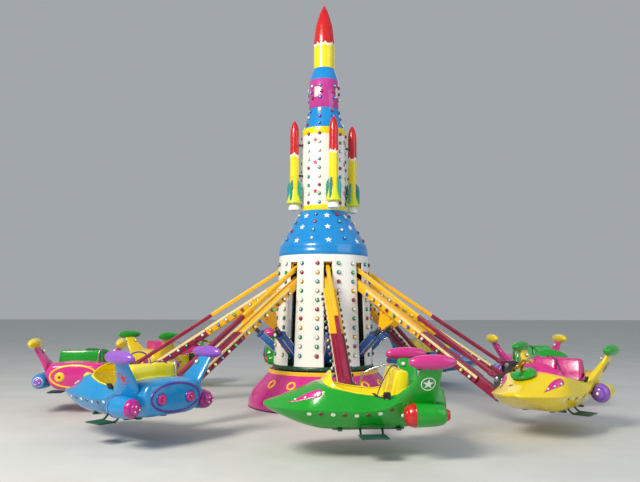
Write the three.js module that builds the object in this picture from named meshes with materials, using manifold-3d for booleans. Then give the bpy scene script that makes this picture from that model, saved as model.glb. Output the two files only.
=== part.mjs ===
// A self-control plane ride: a rocket tower that turns on a round base, with eight lifting arms that each
// carry a two-seat plane. Units are millimetres, +Z is up, and the origin is on the ground under the tower.
// Arm 1 points along -Y, and the arms follow each other counter-clockwise from above.
// In an arm's own frame +X runs outwards, and in a plane's own frame +X is its nose and +Y its outer side.

import * as THREE from "three";
import { mergeVertices } from "three/addons/utils/BufferGeometryUtils.js";
import Module from "manifold-3d";

const wasm = await Module();
wasm.setup();

// Driving dimensions of the whole ride
const ARM_COUNT = 8;
const FIRST_ARM_DEGREES = -90;
const ARM_STEP_DEGREES = 360 / ARM_COUNT;
const SEAT_GAP = 0.3;

// How far a joined solid sinks into the one that carries it, and a pin's end stands back from its cheek
const SINK = 4;
const PIN_RECESS = 2;

// Facets of the round solids
const ROUND_SIDES = 32;
const ROCKET_SIDES = 16;
const ROD_SIDES = 16;

// Fixed base
const SKIRT_PROFILE = [[1091, 0], [1085, 86], [1050, 186], [979, 286], [862, 401], [770, 500]];
const SLEW_RING_RADIUS = 400;
const SLEW_RING_TOP = 529.7;

// Turntable and mast
const TURNTABLE_RADIUS = 720;
const TURNTABLE_BOTTOM = 530;
const TURNTABLE_TOP = 570;
const MAST_RADIUS = 200;
const MAST_SIDES = 24;

// Main drum, its eight slots and the dome over it
const DRUM_TOP = 2135;
const DRUM_RADIUS_BOTTOM = 722;
const DRUM_RADIUS_TOP = 656;
const DRUM_WALL = 28;
const DRUM_SLOT_WIDTH = 145;
const DRUM_SLOT_TOP = 2030;
const DOME_PROFILE = [
  [657, 0], [657, 32], [648, 95], [638, 152], [579, 256], [499, 390], [409, 560], [366, 635], [350, 665],
];

// Rocket above the dome, each profile as radius and height over the piece below
const UPPER_DRUM_BOTTOM = 2800.3;
const UPPER_DRUM_RADIUS = 328;
const UPPER_DRUM_HEIGHT = 1230;
const SHOULDER_PROFILE = [[298, 0], [290, 30], [252, 165], [232, 250], [226, 319]];
const BAND_DRUM_RADIUS = 224;
const BAND_DRUM_HEIGHT = 440;
const NECK_PROFILE = [[222, 0], [200, 72], [162, 178], [158, 196]];
const NOSE_PROFILE = [
  [157, 0], [157, 373], [152, 485], [141, 593], [127, 692], [103, 778], [77, 858], [52, 923], [30, 968],
];
const ROCKET_TIP = 6000;

// Four small rockets round the upper drum
const BOOSTER_COUNT = 4;
const BOOSTER_FIRST_DEGREES = FIRST_ARM_DEGREES + 12.3;
const BOOSTER_ORBIT = 455;
const BOOSTER_BOTTOM = 2810;
const BOOSTER_PROFILE = [
  [62, 0], [86, 48], [60, 90], [115, 106], [96, 190], [67, 260],
  [66, 1180], [60, 1240], [44, 1310], [22, 1350],
];
const BOOSTER_TIP = 1370;
const BOOSTER_SIDES = 12;
const BOOSTER_FIN = {
  count: 4, root: 20, top: 440, bottom: 170, reach: 112, rim: 60, crest: 70, thickness: 14,
};
const BOOSTER_STRUT = { heights: [520, 980], width: 40, depth: 30 };

// Turns the faceted drum so that the middle of a facet faces each small rocket
const ROCKET_TURN =
  THREE.MathUtils.degToRad(BOOSTER_FIRST_DEGREES - FIRST_ARM_DEGREES) - Math.PI / ROCKET_SIDES;

// Arm linkage in the arm's own plane, as distance from the tower's axis and height
const BOOM_INNER = [560, 1771.5];
const BOOM_OUTER = [2740, 344];
const LINK_RISE = 203.5;
const BOOM_WIDTH = 100;
const BOOM_DEPTH = 120;
const LINK_WIDTH = 50;
const LINK_DEPTH = 56;
const PIN_RADIUS = 20;
const PIN_SIDES = 12;
const BAR_END_STEPS = 4;
const BORE_CLEARANCE = 0.9;
const CHEEK_OFFSET = 56;
const CHEEK_THICKNESS = 12;
const MAST_CHEEK = { inner: 150, outer: 612, bottom: 1700, top: 2026 };

// Piston bracket under the boom, and the cylinder that pushes it
const BRACKET_ALONG = 741;
const BRACKET_DROP = 309;
const BRACKET_THICKNESS = 16;
const BRACKET_EYE = 32;
const BRACKET_ROOT = 150;
const CYLINDER_FOOT = [500, 620];
const CYLINDER_BOX = 100;
const CYLINDER_START = 56;
const CYLINDER_END = 598;
const CYLINDER_EYE = { radius: 24, width: 40, pin: 12 };
const CYLINDER_EAR = { offset: 26, thickness: 12, halfLength: 28, top: 644 };
const BORE_START = 64;
const ROD_START = 68;
const ROD_RADIUS = 18;
const FORK = { base: 604, crotch: 620, beyond: 26, cheekGap: 14, cheekThickness: 12, halfDepth: 30 };

// Plane, in its own frame: length stations along the nose direction, then half-widths and heights
const PLANE_ORBIT = 3320;
const HULL_STATIONS = [
  { x: 908, half: 20, keel: 474, chine: 485, rim: 494, reach: 14, crown: 2 },
  { x: 850, half: 150, keel: 446, chine: 481, rim: 524, reach: 90, crown: 10 },
  { x: 740, half: 255, keel: 402, chine: 476, rim: 572, reach: 160, crown: 24 },
  { x: 600, half: 335, keel: 346, chine: 470, rim: 625, reach: 235, crown: 34 },
  { x: 355, half: 400, keel: 282, chine: 464, rim: 727, reach: 330, crown: 44 },
  { x: 200, half: 416, keel: 278, chine: 455, rim: 690, reach: 352, crown: 20 },
  { x: 0, half: 424, keel: 277, chine: 448, rim: 618, reach: 364, crown: 10 },
  { x: -200, half: 426, keel: 278, chine: 474, rim: 579, reach: 366, crown: 10 },
  { x: -470, half: 410, keel: 290, chine: 560, rim: 672, reach: 350, crown: 34 },
  { x: -640, half: 395, keel: 304, chine: 552, rim: 682, reach: 336, crown: 30 },
  { x: -755, half: 376, keel: 332, chine: 540, rim: 668, reach: 316, crown: 22 },
  { x: -800, half: 326, keel: 382, chine: 525, rim: 628, reach: 262, crown: 12 },
];
const KEEL_SHARE = 0.72;
const BILGE_SHARE = 0.93;
const CROWN_SHARE = 0.8;
const COCKPIT_PLAN = [[338, 222], [300, 280], [60, 332], [-200, 336], [-400, 318], [-462, 250]];
const COCKPIT_FLOOR = 338;
const COCKPIT_WAIST = 452;
const COCKPIT_FLOOR_SHARE = 0.78;
const COCKPIT_OPEN_TOP = 1200;
const SEAT_PROFILE = [
  [30, 330], [30, 446], [-230, 436], [-285, 462], [-380, 790], [-410, 810], [-462, 790], [-420, 330],
];
const SEAT_WIDTH = 290;
const SEAT_MIDDLE_GAP = 26;
const FIN_RINGS = [
  { z: 440, front: -290, back: -660, side: 366, half: 38 },
  { z: 600, front: -322, back: -706, side: 396, half: 40 },
  { z: 690, front: -436, back: -712, side: 446, half: 36 },
  { z: 880, front: -530, back: -718, side: 548, half: 28 },
];
const FIN_NOSE_SHARE = 0.22;
const POD = { x: -620, y: 557, z: 910, length: 450, radius: 70, sides: 8, steps: 5, fullness: 0.75 };
const JET = { x: -800, y: 462, z: 422, sides: 8 };
const JET_PROFILE = [[36, 0], [65, 28], [66, 60], [95, 66], [108, 320], [102, 385], [62, 432]];
const HANGER = { inner: -612, outer: -396, bottom: 296, top: 602, back: -470 };
const STEP_PLATE = {
  front: 30, back: -230, inner: 300, outer: 500, bottom: 214, thickness: 18, strut: 26, inset: 20,
};

// Colours of the plain construction finishes
const PAINT = {
  pink: 0xd83a9a,
  white: 0xf2f2ee,
  blue: 0x1487d8,
  yellow: 0xffc400,
  red: 0xd01818,
  darkBlue: 0x0c2c66,
  darkGreen: 0x14503c,
  crimson: 0xb01030,
  green: 0x12b034,
  steel: 0xb8bcc0,
  cylinderBlue: 0x0f5fb0,
  darkSteel: 0x30343a,
};
const PLANE_COLOURS = [PAINT.green, PAINT.yellow, PAINT.pink, PAINT.blue];

function paint(colour, roughness = 0.35, metalness = 0.0) {
  return new THREE.MeshStandardMaterial({ color: colour, roughness, metalness });
}

function signedVolume(positions, index) {
  const [a, b, c] = [new THREE.Vector3(), new THREE.Vector3(), new THREE.Vector3()];
  let total = 0;
  for (let i = 0; i < index.length; i += 3) {
    a.fromBufferAttribute(positions, index[i]);
    b.fromBufferAttribute(positions, index[i + 1]);
    c.fromBufferAttribute(positions, index[i + 2]);
    total += a.dot(b.cross(c));
  }
  return total;
}

// Welds a closed mesh, drops its zero-width triangles and turns its faces outwards
function welded(geometry) {
  const bare = geometry.clone();
  bare.deleteAttribute("normal");
  bare.deleteAttribute("uv");
  const merged = mergeVertices(bare, 1e-3);
  const source = merged.index.array;
  const kept = [];
  for (let i = 0; i < source.length; i += 3) {
    const [a, b, c] = [source[i], source[i + 1], source[i + 2]];
    if (a !== b && b !== c && c !== a) kept.push(a, b, c);
  }
  if (signedVolume(merged.attributes.position, kept) < 0) kept.reverse();
  merged.setIndex(kept);
  return merged;
}

function toSolid(geometry) {
  const mesh = welded(geometry);
  return new wasm.Manifold(new wasm.Mesh({
    numProp: 3,
    vertProperties: new Float32Array(mesh.attributes.position.array),
    triVerts: new Uint32Array(mesh.index.array),
  }));
}

function toGeometry(solid) {
  const mesh = solid.getMesh();
  const geometry = new THREE.BufferGeometry();
  geometry.setAttribute("position", new THREE.BufferAttribute(new Float32Array(mesh.vertProperties), 3));
  geometry.setIndex(new THREE.BufferAttribute(new Uint32Array(mesh.triVerts), 1));
  return geometry;
}

function joined(geometries) {
  return geometries.map(toSolid).reduce((whole, piece) => whole.add(piece));
}

function joinedAndCut(geometries, cutters) {
  const whole = joined(geometries);
  return toGeometry(cutters.length ? whole.subtract(joined(cutters)) : whole);
}

// Turns a profile of radius and height about Z. A profile that isn't closed ends on the axis.
function turned(profile, sides = ROUND_SIDES, closed = false) {
  const points = profile.map(([radius, height]) => new THREE.Vector2(radius, height));
  if (closed) {
    points.push(points[0].clone());
  } else {
    points.unshift(new THREE.Vector2(0, points[0].y));
    points.push(new THREE.Vector2(0, points[points.length - 1].y));
  }
  return welded(new THREE.LatheGeometry(points, sides).rotateX(Math.PI / 2));
}

// A box between two corners
function block(low, high) {
  const size = high.map((value, i) => value - low[i]);
  const middle = high.map((value, i) => (value + low[i]) / 2);
  return new THREE.BoxGeometry(...size).translate(...middle);
}

// A plate whose outline lies in the X and Z plane, with its thickness along Y about the given middle
function plate(outline, thickness, middle = 0, holes = []) {
  const shape = new THREE.Shape(outline.map(([x, z]) => new THREE.Vector2(x, z)));
  for (const hole of holes) {
    const path = new THREE.Path();
    const corners = circlePoints(hole.x, hole.z, hole.radius, hole.sides);
    path.setFromPoints(corners.map(([x, z]) => new THREE.Vector2(x, z)));
    shape.holes.push(path);
  }
  const solid = new THREE.ExtrudeGeometry(shape, { depth: thickness, bevelEnabled: false });
  return welded(solid.rotateX(Math.PI / 2).translate(0, middle + thickness / 2, 0));
}

function circlePoints(x, z, radius, sides) {
  return Array.from({ length: sides }, (_, i) => {
    const angle = (2 * Math.PI * i) / sides;
    return [x + radius * Math.cos(angle), z + radius * Math.sin(angle)];
  });
}

// A round pin along Y
function pin(x, z, radius, low, high, sides = PIN_SIDES) {
  return plate(circlePoints(x, z, radius, sides), high - low, (low + high) / 2);
}

// A closed skin through rings of points that all have the same count
function lofted(rings) {
  const count = rings[0].length;
  const positions = rings.flat(2);
  const index = [];
  for (let r = 0; r < rings.length - 1; r += 1) {
    for (let i = 0; i < count; i += 1) {
      const [a, b] = [r * count + i, r * count + ((i + 1) % count)];
      index.push(a, b, b + count, a, b + count, a + count);
    }
  }
  const last = (rings.length - 1) * count;
  for (let i = 1; i < count - 1; i += 1) {
    index.push(0, i + 1, i);
    index.push(last, last + i, last + i + 1);
  }
  const geometry = new THREE.BufferGeometry();
  geometry.setAttribute("position", new THREE.Float32BufferAttribute(positions, 3));
  geometry.setIndex(index);
  return geometry;
}

// The arm's slope at rest, and places along it
const BOOM_SPAN = new THREE.Vector2(BOOM_OUTER[0] - BOOM_INNER[0], BOOM_OUTER[1] - BOOM_INNER[1]);
const BOOM_LENGTH = BOOM_SPAN.length();
const BOOM_SLOPE = BOOM_SPAN.angle();
const BOOM_ALONG = BOOM_SPAN.clone().normalize();
const BOOM_UP = new THREE.Vector2(-BOOM_ALONG.y, BOOM_ALONG.x);

function onBoom(along, up) {
  return [
    BOOM_INNER[0] + BOOM_ALONG.x * along + BOOM_UP.x * up,
    BOOM_INNER[1] + BOOM_ALONG.y * along + BOOM_UP.y * up,
  ];
}

const PISTON_EYE = onBoom(BRACKET_ALONG, -BRACKET_DROP);
const CYLINDER_SPAN = new THREE.Vector2(PISTON_EYE[0] - CYLINDER_FOOT[0], PISTON_EYE[1] - CYLINDER_FOOT[1]);
const CYLINDER_SLOPE = CYLINDER_SPAN.angle();
const CYLINDER_LENGTH = CYLINDER_SPAN.length();

// A straight bar with round ends between two pivots, bored for its pins, in the arm's own plane
function pivotBar(start, length, slope, depth, width, boreRadius) {
  const half = depth / 2;
  const outline = [];
  const ends = [[length, -Math.PI / 2], [0, Math.PI / 2]];
  for (const [centre, from] of ends) {
    for (let i = 0; i <= BAR_END_STEPS; i += 1) {
      const angle = from + (Math.PI * i) / BAR_END_STEPS;
      outline.push([centre + half * Math.cos(angle), half * Math.sin(angle)]);
    }
  }
  const holes = [0, length].map((x) => ({ x, z: 0, radius: boreRadius, sides: PIN_SIDES }));
  return plate(outline, width, 0, holes).rotateY(-slope).translate(start[0], 0, start[1]);
}

// Tower pieces

function baseSkirt() {
  return turned(SKIRT_PROFILE);
}

function slewRing() {
  const bottom = SKIRT_PROFILE[SKIRT_PROFILE.length - 1][1] + SEAT_GAP;
  return turned([[SLEW_RING_RADIUS, bottom], [SLEW_RING_RADIUS, SLEW_RING_TOP]]);
}

function turntable() {
  const pieces = [turned([[TURNTABLE_RADIUS, TURNTABLE_BOTTOM], [TURNTABLE_RADIUS, TURNTABLE_TOP]])];
  const ear = CYLINDER_EAR;
  const [footX, footZ] = CYLINDER_FOOT;
  for (let i = 0; i < ARM_COUNT; i += 1) {
    const turn = armTurn(i);
    for (const side of [-1, 1]) {
      const middle = side * (ear.offset + ear.thickness / 2);
      const low = [footX - ear.halfLength, middle - ear.thickness / 2, TURNTABLE_TOP - SINK];
      const high = [footX + ear.halfLength, middle + ear.thickness / 2, ear.top];
      pieces.push(block(low, high).rotateZ(turn));
    }
    const reach = ear.offset + ear.thickness - PIN_RECESS;
    pieces.push(pin(footX, footZ, CYLINDER_EYE.pin, -reach, reach).rotateZ(turn));
  }
  return joinedAndCut(pieces, []);
}

function mast() {
  const bottom = TURNTABLE_TOP + SEAT_GAP;
  const top = DRUM_TOP - SEAT_GAP;
  const column = turned([[MAST_RADIUS, bottom], [MAST_RADIUS, top]], MAST_SIDES);
  const pieces = [column];
  const reach = CHEEK_OFFSET + CHEEK_THICKNESS;
  const pinReach = reach - PIN_RECESS;
  for (let i = 0; i < ARM_COUNT; i += 1) {
    const turn = armTurn(i);
    for (const side of [-1, 1]) {
      const inner = side * CHEEK_OFFSET;
      const outer = side * reach;
      const low = [MAST_CHEEK.inner, Math.min(inner, outer), MAST_CHEEK.bottom];
      const high = [MAST_CHEEK.outer, Math.max(inner, outer), MAST_CHEEK.top];
      pieces.push(block(low, high).rotateZ(turn));
    }
    for (const rise of [0, LINK_RISE]) {
      const cross = pin(BOOM_INNER[0], BOOM_INNER[1] + rise, PIN_RADIUS, -pinReach, pinReach);
      pieces.push(cross.rotateZ(turn));
    }
  }
  return joinedAndCut(pieces, []);
}

function mainDrum() {
  const bottom = TURNTABLE_TOP + SEAT_GAP;
  const top = DRUM_TOP - SEAT_GAP;
  const wall = turned([
    [DRUM_RADIUS_BOTTOM, bottom], [DRUM_RADIUS_TOP, top],
    [DRUM_RADIUS_TOP - DRUM_WALL, top], [DRUM_RADIUS_BOTTOM - DRUM_WALL, bottom],
  ], ROUND_SIDES, true);
  const slots = [];
  const half = DRUM_SLOT_WIDTH / 2;
  for (let i = 0; i < ARM_COUNT; i += 1) {
    const slot = block([DRUM_RADIUS_TOP / 2, -half, 0], [DRUM_RADIUS_BOTTOM * 2, half, DRUM_SLOT_TOP]);
    slots.push(slot.rotateZ(armTurn(i)));
  }
  return joinedAndCut([wall], slots);
}

function dome() {
  return turned(DOME_PROFILE).translate(0, 0, DRUM_TOP);
}

// The rocket's round pieces from the upper drum to the tip, each seated on the one below
function rocketPieces() {
  const profiles = [
    ["upper_drum", [[UPPER_DRUM_RADIUS, 0], [UPPER_DRUM_RADIUS, UPPER_DRUM_HEIGHT]], PAINT.white],
    ["shoulder_cone", SHOULDER_PROFILE, PAINT.blue],
    ["band_drum", [[BAND_DRUM_RADIUS, 0], [BAND_DRUM_RADIUS, BAND_DRUM_HEIGHT]], PAINT.pink],
    ["neck_cone", NECK_PROFILE, PAINT.blue],
  ];
  let bottom = UPPER_DRUM_BOTTOM;
  const pieces = profiles.map(([name, profile, colour]) => {
    const geometry = turned(profile, ROCKET_SIDES).rotateZ(ROCKET_TURN).translate(0, 0, bottom);
    bottom += profile[profile.length - 1][1] + SEAT_GAP;
    return { name, geometry, colour };
  });
  const nose = turned([...NOSE_PROFILE, [0, ROCKET_TIP - bottom]], ROCKET_SIDES).translate(0, 0, bottom);
  pieces.push({ name: "nose_cone", geometry: nose, colour: PAINT.red });
  return pieces;
}

function booster() {
  const body = turned([...BOOSTER_PROFILE, [0, BOOSTER_TIP]], BOOSTER_SIDES);
  const pieces = [body];
  const fin = BOOSTER_FIN;
  const outline = [
    [fin.root, fin.top], [fin.root, fin.bottom],
    [fin.reach, fin.bottom], [fin.reach, fin.bottom + fin.rim], [fin.crest, fin.top],
  ];
  for (let i = 0; i < fin.count; i += 1) {
    const turn = (2 * Math.PI * (i + 0.5)) / fin.count;
    pieces.push(plate(outline, fin.thickness).rotateZ(turn));
  }
  const strutEnd = UPPER_DRUM_RADIUS * Math.cos(Math.PI / ROCKET_SIDES) + SEAT_GAP - BOOSTER_ORBIT;
  for (const height of BOOSTER_STRUT.heights) {
    const half = BOOSTER_STRUT.depth / 2;
    const low = [strutEnd, -BOOSTER_STRUT.width / 2, height - half];
    pieces.push(block(low, [0, BOOSTER_STRUT.width / 2, height + half]));
  }
  return joinedAndCut(pieces, []).translate(BOOSTER_ORBIT, 0, BOOSTER_BOTTOM);
}

// Arm pieces, in the arm's own frame

function boom() {
  const boreRadius = PIN_RADIUS + BORE_CLEARANCE;
  const bar = pivotBar(BOOM_INNER, BOOM_LENGTH, BOOM_SLOPE, BOOM_DEPTH, BOOM_WIDTH, boreRadius);
  const root = -BOOM_DEPTH / 2 + SINK;
  const eye = circlePoints(BRACKET_ALONG, -BRACKET_DROP, BRACKET_EYE, PIN_SIDES);
  const lowerHalf = eye.slice(PIN_SIDES / 2).concat([eye[0]]);
  const outline = [
    [BRACKET_ALONG - BRACKET_ROOT, root], ...lowerHalf, [BRACKET_ALONG + BRACKET_ROOT, root],
  ];
  const bracket = plate(outline, BRACKET_THICKNESS);
  bracket.rotateY(-BOOM_SLOPE).translate(BOOM_INNER[0], 0, BOOM_INNER[1]);
  return joinedAndCut([bar, bracket], []);
}

function linkRod() {
  const start = [BOOM_INNER[0], BOOM_INNER[1] + LINK_RISE];
  return pivotBar(start, BOOM_LENGTH, BOOM_SLOPE, LINK_DEPTH, LINK_WIDTH, PIN_RADIUS + BORE_CLEARANCE);
}

// A piece laid out along the cylinder's own axis, put in its place at rest
function alongCylinder(geometry) {
  return geometry.rotateY(-CYLINDER_SLOPE).translate(CYLINDER_FOOT[0], 0, CYLINDER_FOOT[1]);
}

function roundBar(from, to, radius, sides) {
  const bar = turned([[radius, from], [radius, to]], sides);
  return bar.rotateY(Math.PI / 2);
}

function cylinder() {
  const half = CYLINDER_BOX / 2;
  const body = block([CYLINDER_START, -half, -half], [CYLINDER_END, half, half]);
  const eye = CYLINDER_EYE;
  const tongue = block([0, -eye.width / 2, -eye.radius], [CYLINDER_START + SINK, eye.width / 2, eye.radius]);
  const knuckle = pin(0, 0, eye.radius, -eye.width / 2, eye.width / 2);
  const pinBore = pin(0, 0, eye.pin + BORE_CLEARANCE, -half, half);
  const rodBore = roundBar(BORE_START, CYLINDER_END + half, ROD_RADIUS + BORE_CLEARANCE, ROD_SIDES);
  return alongCylinder(joinedAndCut([body, tongue, knuckle], [pinBore, rodBore]));
}

function piston() {
  const rod = roundBar(ROD_START, FORK.base + SINK, ROD_RADIUS, ROD_SIDES);
  const reach = FORK.cheekGap + FORK.cheekThickness;
  const base = block([FORK.base, -reach, -FORK.halfDepth], [FORK.crotch, reach, FORK.halfDepth]);
  const cheeks = [-1, 1].map((side) => {
    const inner = side * FORK.cheekGap;
    const outer = side * reach;
    const low = [FORK.crotch - SINK, Math.min(inner, outer), -FORK.halfDepth];
    const high = [CYLINDER_LENGTH + FORK.beyond, Math.max(inner, outer), FORK.halfDepth];
    return block(low, high);
  });
  return alongCylinder(joinedAndCut([rod, base, ...cheeks], []));
}

// Plane pieces, in the plane's own frame

function hullRing({ x, half, keel, chine, rim, reach, crown }) {
  const side = [
    [half * KEEL_SHARE, keel],
    [half * BILGE_SHARE, (keel + chine) / 2],
    [half, chine],
    [reach, rim],
    [half / 2, rim + crown * CROWN_SHARE],
  ];
  const left = side.map(([y, z]) => [x, y, z]);
  const right = side.map(([y, z]) => [x, -y, z]).reverse();
  return [...left, [x, 0, rim + crown], ...right];
}

function cockpitCutter() {
  const ring = (z, share) => {
    const left = COCKPIT_PLAN.map(([x, y]) => [x, y * share, z]);
    const right = COCKPIT_PLAN.map(([x, y]) => [x, -y * share, z]).reverse();
    return [...left, ...right];
  };
  const floor = ring(COCKPIT_FLOOR, COCKPIT_FLOOR_SHARE);
  return lofted([floor, ring(COCKPIT_WAIST, 1), ring(COCKPIT_OPEN_TOP, 1)]);
}

function seats() {
  const offset = (SEAT_WIDTH + SEAT_MIDDLE_GAP) / 2;
  return [-offset, offset].map((middle) => plate(SEAT_PROFILE, SEAT_WIDTH, middle));
}

function fin(side) {
  return lofted(FIN_RINGS.map(({ z, front, back, side: y, half }) => {
    const shoulder = (front - back) * FIN_NOSE_SHARE;
    return [
      [front, side * y, z],
      [front - shoulder, side * (y + half), z],
      [back + shoulder, side * (y + half), z],
      [back, side * y, z],
      [back + shoulder, side * (y - half), z],
      [front - shoulder, side * (y - half), z],
    ];
  }));
}

// A spindle with round ends, its axis along the nose direction
function pod(side) {
  const profile = [];
  for (let i = 1; i < POD.steps; i += 1) {
    const share = i / POD.steps;
    profile.push([POD.radius * Math.sin(Math.PI * share) ** POD.fullness, (share - 0.5) * POD.length]);
  }
  const ends = [[0, -POD.length / 2], ...profile, [0, POD.length / 2]];
  const spindle = turned(ends, POD.sides).rotateY(Math.PI / 2);
  return spindle.translate(POD.x, side * POD.y, POD.z);
}

function jet(side) {
  const nacelle = turned(JET_PROFILE, JET.sides).rotateY(Math.PI / 2);
  return nacelle.translate(JET.x, side * JET.y, JET.z);
}

function hanger() {
  const pieces = [];
  const reach = CHEEK_OFFSET + CHEEK_THICKNESS;
  const pinReach = reach - PIN_RECESS;
  for (const side of [-1, 1]) {
    const inner = side * CHEEK_OFFSET;
    const outer = side * reach;
    const low = [Math.min(inner, outer), HANGER.inner, HANGER.bottom];
    pieces.push(block(low, [Math.max(inner, outer), HANGER.outer, HANGER.top]));
  }
  const backEnd = [reach, HANGER.back + CHEEK_THICKNESS, HANGER.top];
  pieces.push(block([-reach, HANGER.back, HANGER.bottom], backEnd));
  const pinPlace = BOOM_OUTER[0] - PLANE_ORBIT;
  for (const rise of [0, LINK_RISE]) {
    const cross = pin(pinPlace, BOOM_OUTER[1] + rise, PIN_RADIUS, -pinReach, pinReach);
    pieces.push(cross.rotateZ(Math.PI / 2));
  }
  return pieces;
}

function stepPlate() {
  const step = STEP_PLATE;
  const top = step.bottom + step.thickness;
  const tread = block([step.back, step.inner, step.bottom], [step.front, step.outer, top]);
  const struts = [step.back + step.inset, step.front - step.inset - step.strut].map((x) => {
    const low = [x, step.inner, top - SINK];
    return block(low, [x + step.strut, step.inner + step.strut, COCKPIT_FLOOR - SINK]);
  });
  return [tread, ...struts];
}

function plane() {
  const shell = toSolid(lofted(HULL_STATIONS.map(hullRing))).subtract(toSolid(cockpitCutter()));
  const paired = [-1, 1].flatMap((side) => [fin(side), pod(side), jet(side)]);
  const fittings = [...seats(), ...paired, ...hanger(), ...stepPlate()];
  return toGeometry(shell.add(joined(fittings)));
}

function armTurn(i) {
  return THREE.MathUtils.degToRad(FIRST_ARM_DEGREES + ARM_STEP_DEGREES * i);
}

// Assembly

const ride = new THREE.Group();

function place(parent, name, geometry, material) {
  const mesh = new THREE.Mesh(geometry, material);
  mesh.name = name;
  parent.add(mesh);
}

function buildTower() {
  place(ride, "base_skirt", baseSkirt(), paint(PAINT.pink));
  place(ride, "slew_ring", slewRing(), paint(PAINT.darkSteel, 0.5, 0.6));
  place(ride, "turntable", turntable(), paint(PAINT.darkGreen));
  place(ride, "mast", mast(), paint(PAINT.darkBlue));
  place(ride, "main_drum", mainDrum(), paint(PAINT.white));
  place(ride, "dome", dome(), paint(PAINT.blue));
  for (const { name, geometry, colour } of rocketPieces()) place(ride, name, geometry, paint(colour));
  const boosterShape = booster();
  for (let i = 0; i < BOOSTER_COUNT; i += 1) {
    const stand = new THREE.Group();
    stand.rotation.z = THREE.MathUtils.degToRad(BOOSTER_FIRST_DEGREES + (360 / BOOSTER_COUNT) * i);
    ride.add(stand);
    place(stand, `booster_${i + 1}`, boosterShape, paint(PAINT.yellow));
  }
}

function buildArms() {
  const shapes = { boom: boom(), link: linkRod(), cylinder: cylinder(), piston: piston(), plane: plane() };
  for (let i = 0; i < ARM_COUNT; i += 1) {
    const arm = new THREE.Group();
    arm.rotation.z = armTurn(i);
    ride.add(arm);
    place(arm, `boom_${i + 1}`, shapes.boom, paint(PAINT.yellow));
    place(arm, `link_rod_${i + 1}`, shapes.link, paint(PAINT.crimson));
    place(arm, `cylinder_${i + 1}`, shapes.cylinder, paint(PAINT.cylinderBlue));
    place(arm, `piston_${i + 1}`, shapes.piston, paint(PAINT.steel, 0.3, 0.9));
    const seat = new THREE.Group();
    seat.position.x = PLANE_ORBIT;
    seat.rotation.z = -Math.PI / 2;
    arm.add(seat);
    place(seat, `cabin_${i + 1}`, shapes.plane, paint(PLANE_COLOURS[i % PLANE_COLOURS.length]));
  }
}

buildTower();
buildArms();

export default ride;
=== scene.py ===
"""The self-control plane ride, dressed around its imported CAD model.

Every length is in metres and in the CAD model's own frame: +Z is up, the tower's axis is the origin, and arm 1
points along -Y. In an arm's own frame +X runs outwards. In a plane's own frame +X is its nose and +Y its outer
side. Profiles and sections that are turned about an axis are pairs of radius and height.
"""

from __future__ import annotations

import logging
import math
from dataclasses import dataclass, field
from enum import Enum, auto
from typing import Any, Iterable, Mapping, Sequence, Union

import bmesh
import bpy
from mathutils import Matrix, Vector
from mathutils.bvhtree import BVHTree


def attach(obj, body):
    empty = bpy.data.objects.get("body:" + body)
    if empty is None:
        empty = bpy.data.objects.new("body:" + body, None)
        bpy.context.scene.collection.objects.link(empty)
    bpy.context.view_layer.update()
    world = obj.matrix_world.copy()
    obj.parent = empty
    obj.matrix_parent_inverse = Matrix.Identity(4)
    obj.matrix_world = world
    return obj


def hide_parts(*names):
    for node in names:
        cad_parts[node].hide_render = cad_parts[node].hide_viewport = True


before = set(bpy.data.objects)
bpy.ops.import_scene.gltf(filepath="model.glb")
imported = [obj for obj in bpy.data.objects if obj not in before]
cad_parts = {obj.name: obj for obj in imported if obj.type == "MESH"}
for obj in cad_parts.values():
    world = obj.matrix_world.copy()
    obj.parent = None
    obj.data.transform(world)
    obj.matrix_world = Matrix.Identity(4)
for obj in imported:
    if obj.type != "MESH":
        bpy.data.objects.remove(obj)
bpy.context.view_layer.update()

LOG = logging.getLogger("plane_ride")
IDENTITY = Matrix.Identity(4)
UP = Vector((0.0, 0.0, 1.0))
AHEAD = Vector((1.0, 0.0, 0.0))
SIDES = (-1, 1)
ARM_COUNT = 8
ARM_PITCH = 360.0 / ARM_COUNT
ARM_NUMBERS = range(1, ARM_COUNT + 1)
SHARP_DEGREES = 38.0
CORE = 0.001  # the radius where a turned profile ends in place of zero
WELD = 2e-5
SUNK = -0.002  # how deep a detail starts under the skin that it sits on

Pair = Sequence[float]
Pairs = Sequence[Pair]
Points = Sequence[Sequence[float]]
Patch = tuple[float, float, float, str, float]


# Finishes


def linear(hex_colour: str) -> tuple[float, float, float, float]:
    """Turns an sRGB hex colour into the linear colour that a shader takes.

    Args:
        hex_colour: A hash sign and six hex digits.

    Returns:
        Red, green, blue and an alpha of one.
    """
    channels = [int(hex_colour[i : i + 2], 16) / 255 for i in (1, 3, 5)]
    red, green, blue = (c / 12.92 if c <= 0.04045 else ((c + 0.055) / 1.055) ** 2.4 for c in channels)
    return red, green, blue, 1.0


def toned(hex_colour: str, towards: str, share: float) -> str:
    """Moves an sRGB hex colour towards another by a share of the way, and returns it as hex."""
    pairs = [(int(hex_colour[i : i + 2], 16), int(towards[i : i + 2], 16)) for i in (1, 3, 5)]
    return "#{:02X}{:02X}{:02X}".format(*(round(own * (1 - share) + other * share) for own, other in pairs))


def add_node(
    tree: bpy.types.NodeTree, kind: str, inputs: Mapping[Union[str, int], Any] | None = None, **settings: Any
) -> bpy.types.Node:
    """Adds one shader node.

    Args:
        tree: The material's node tree.
        kind: Blender's name for the node.
        inputs: For each input socket a value, or the output socket that feeds it.
        **settings: The node's own properties.

    Returns:
        The new node.
    """
    node = tree.nodes.new(kind)
    for name, value in settings.items():
        setattr(node, name, value)
    for socket, value in (inputs or {}).items():
        if isinstance(value, bpy.types.NodeSocket):
            tree.links.new(value, node.inputs[socket])
        else:
            node.inputs[socket].default_value = value
    return node


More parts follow.
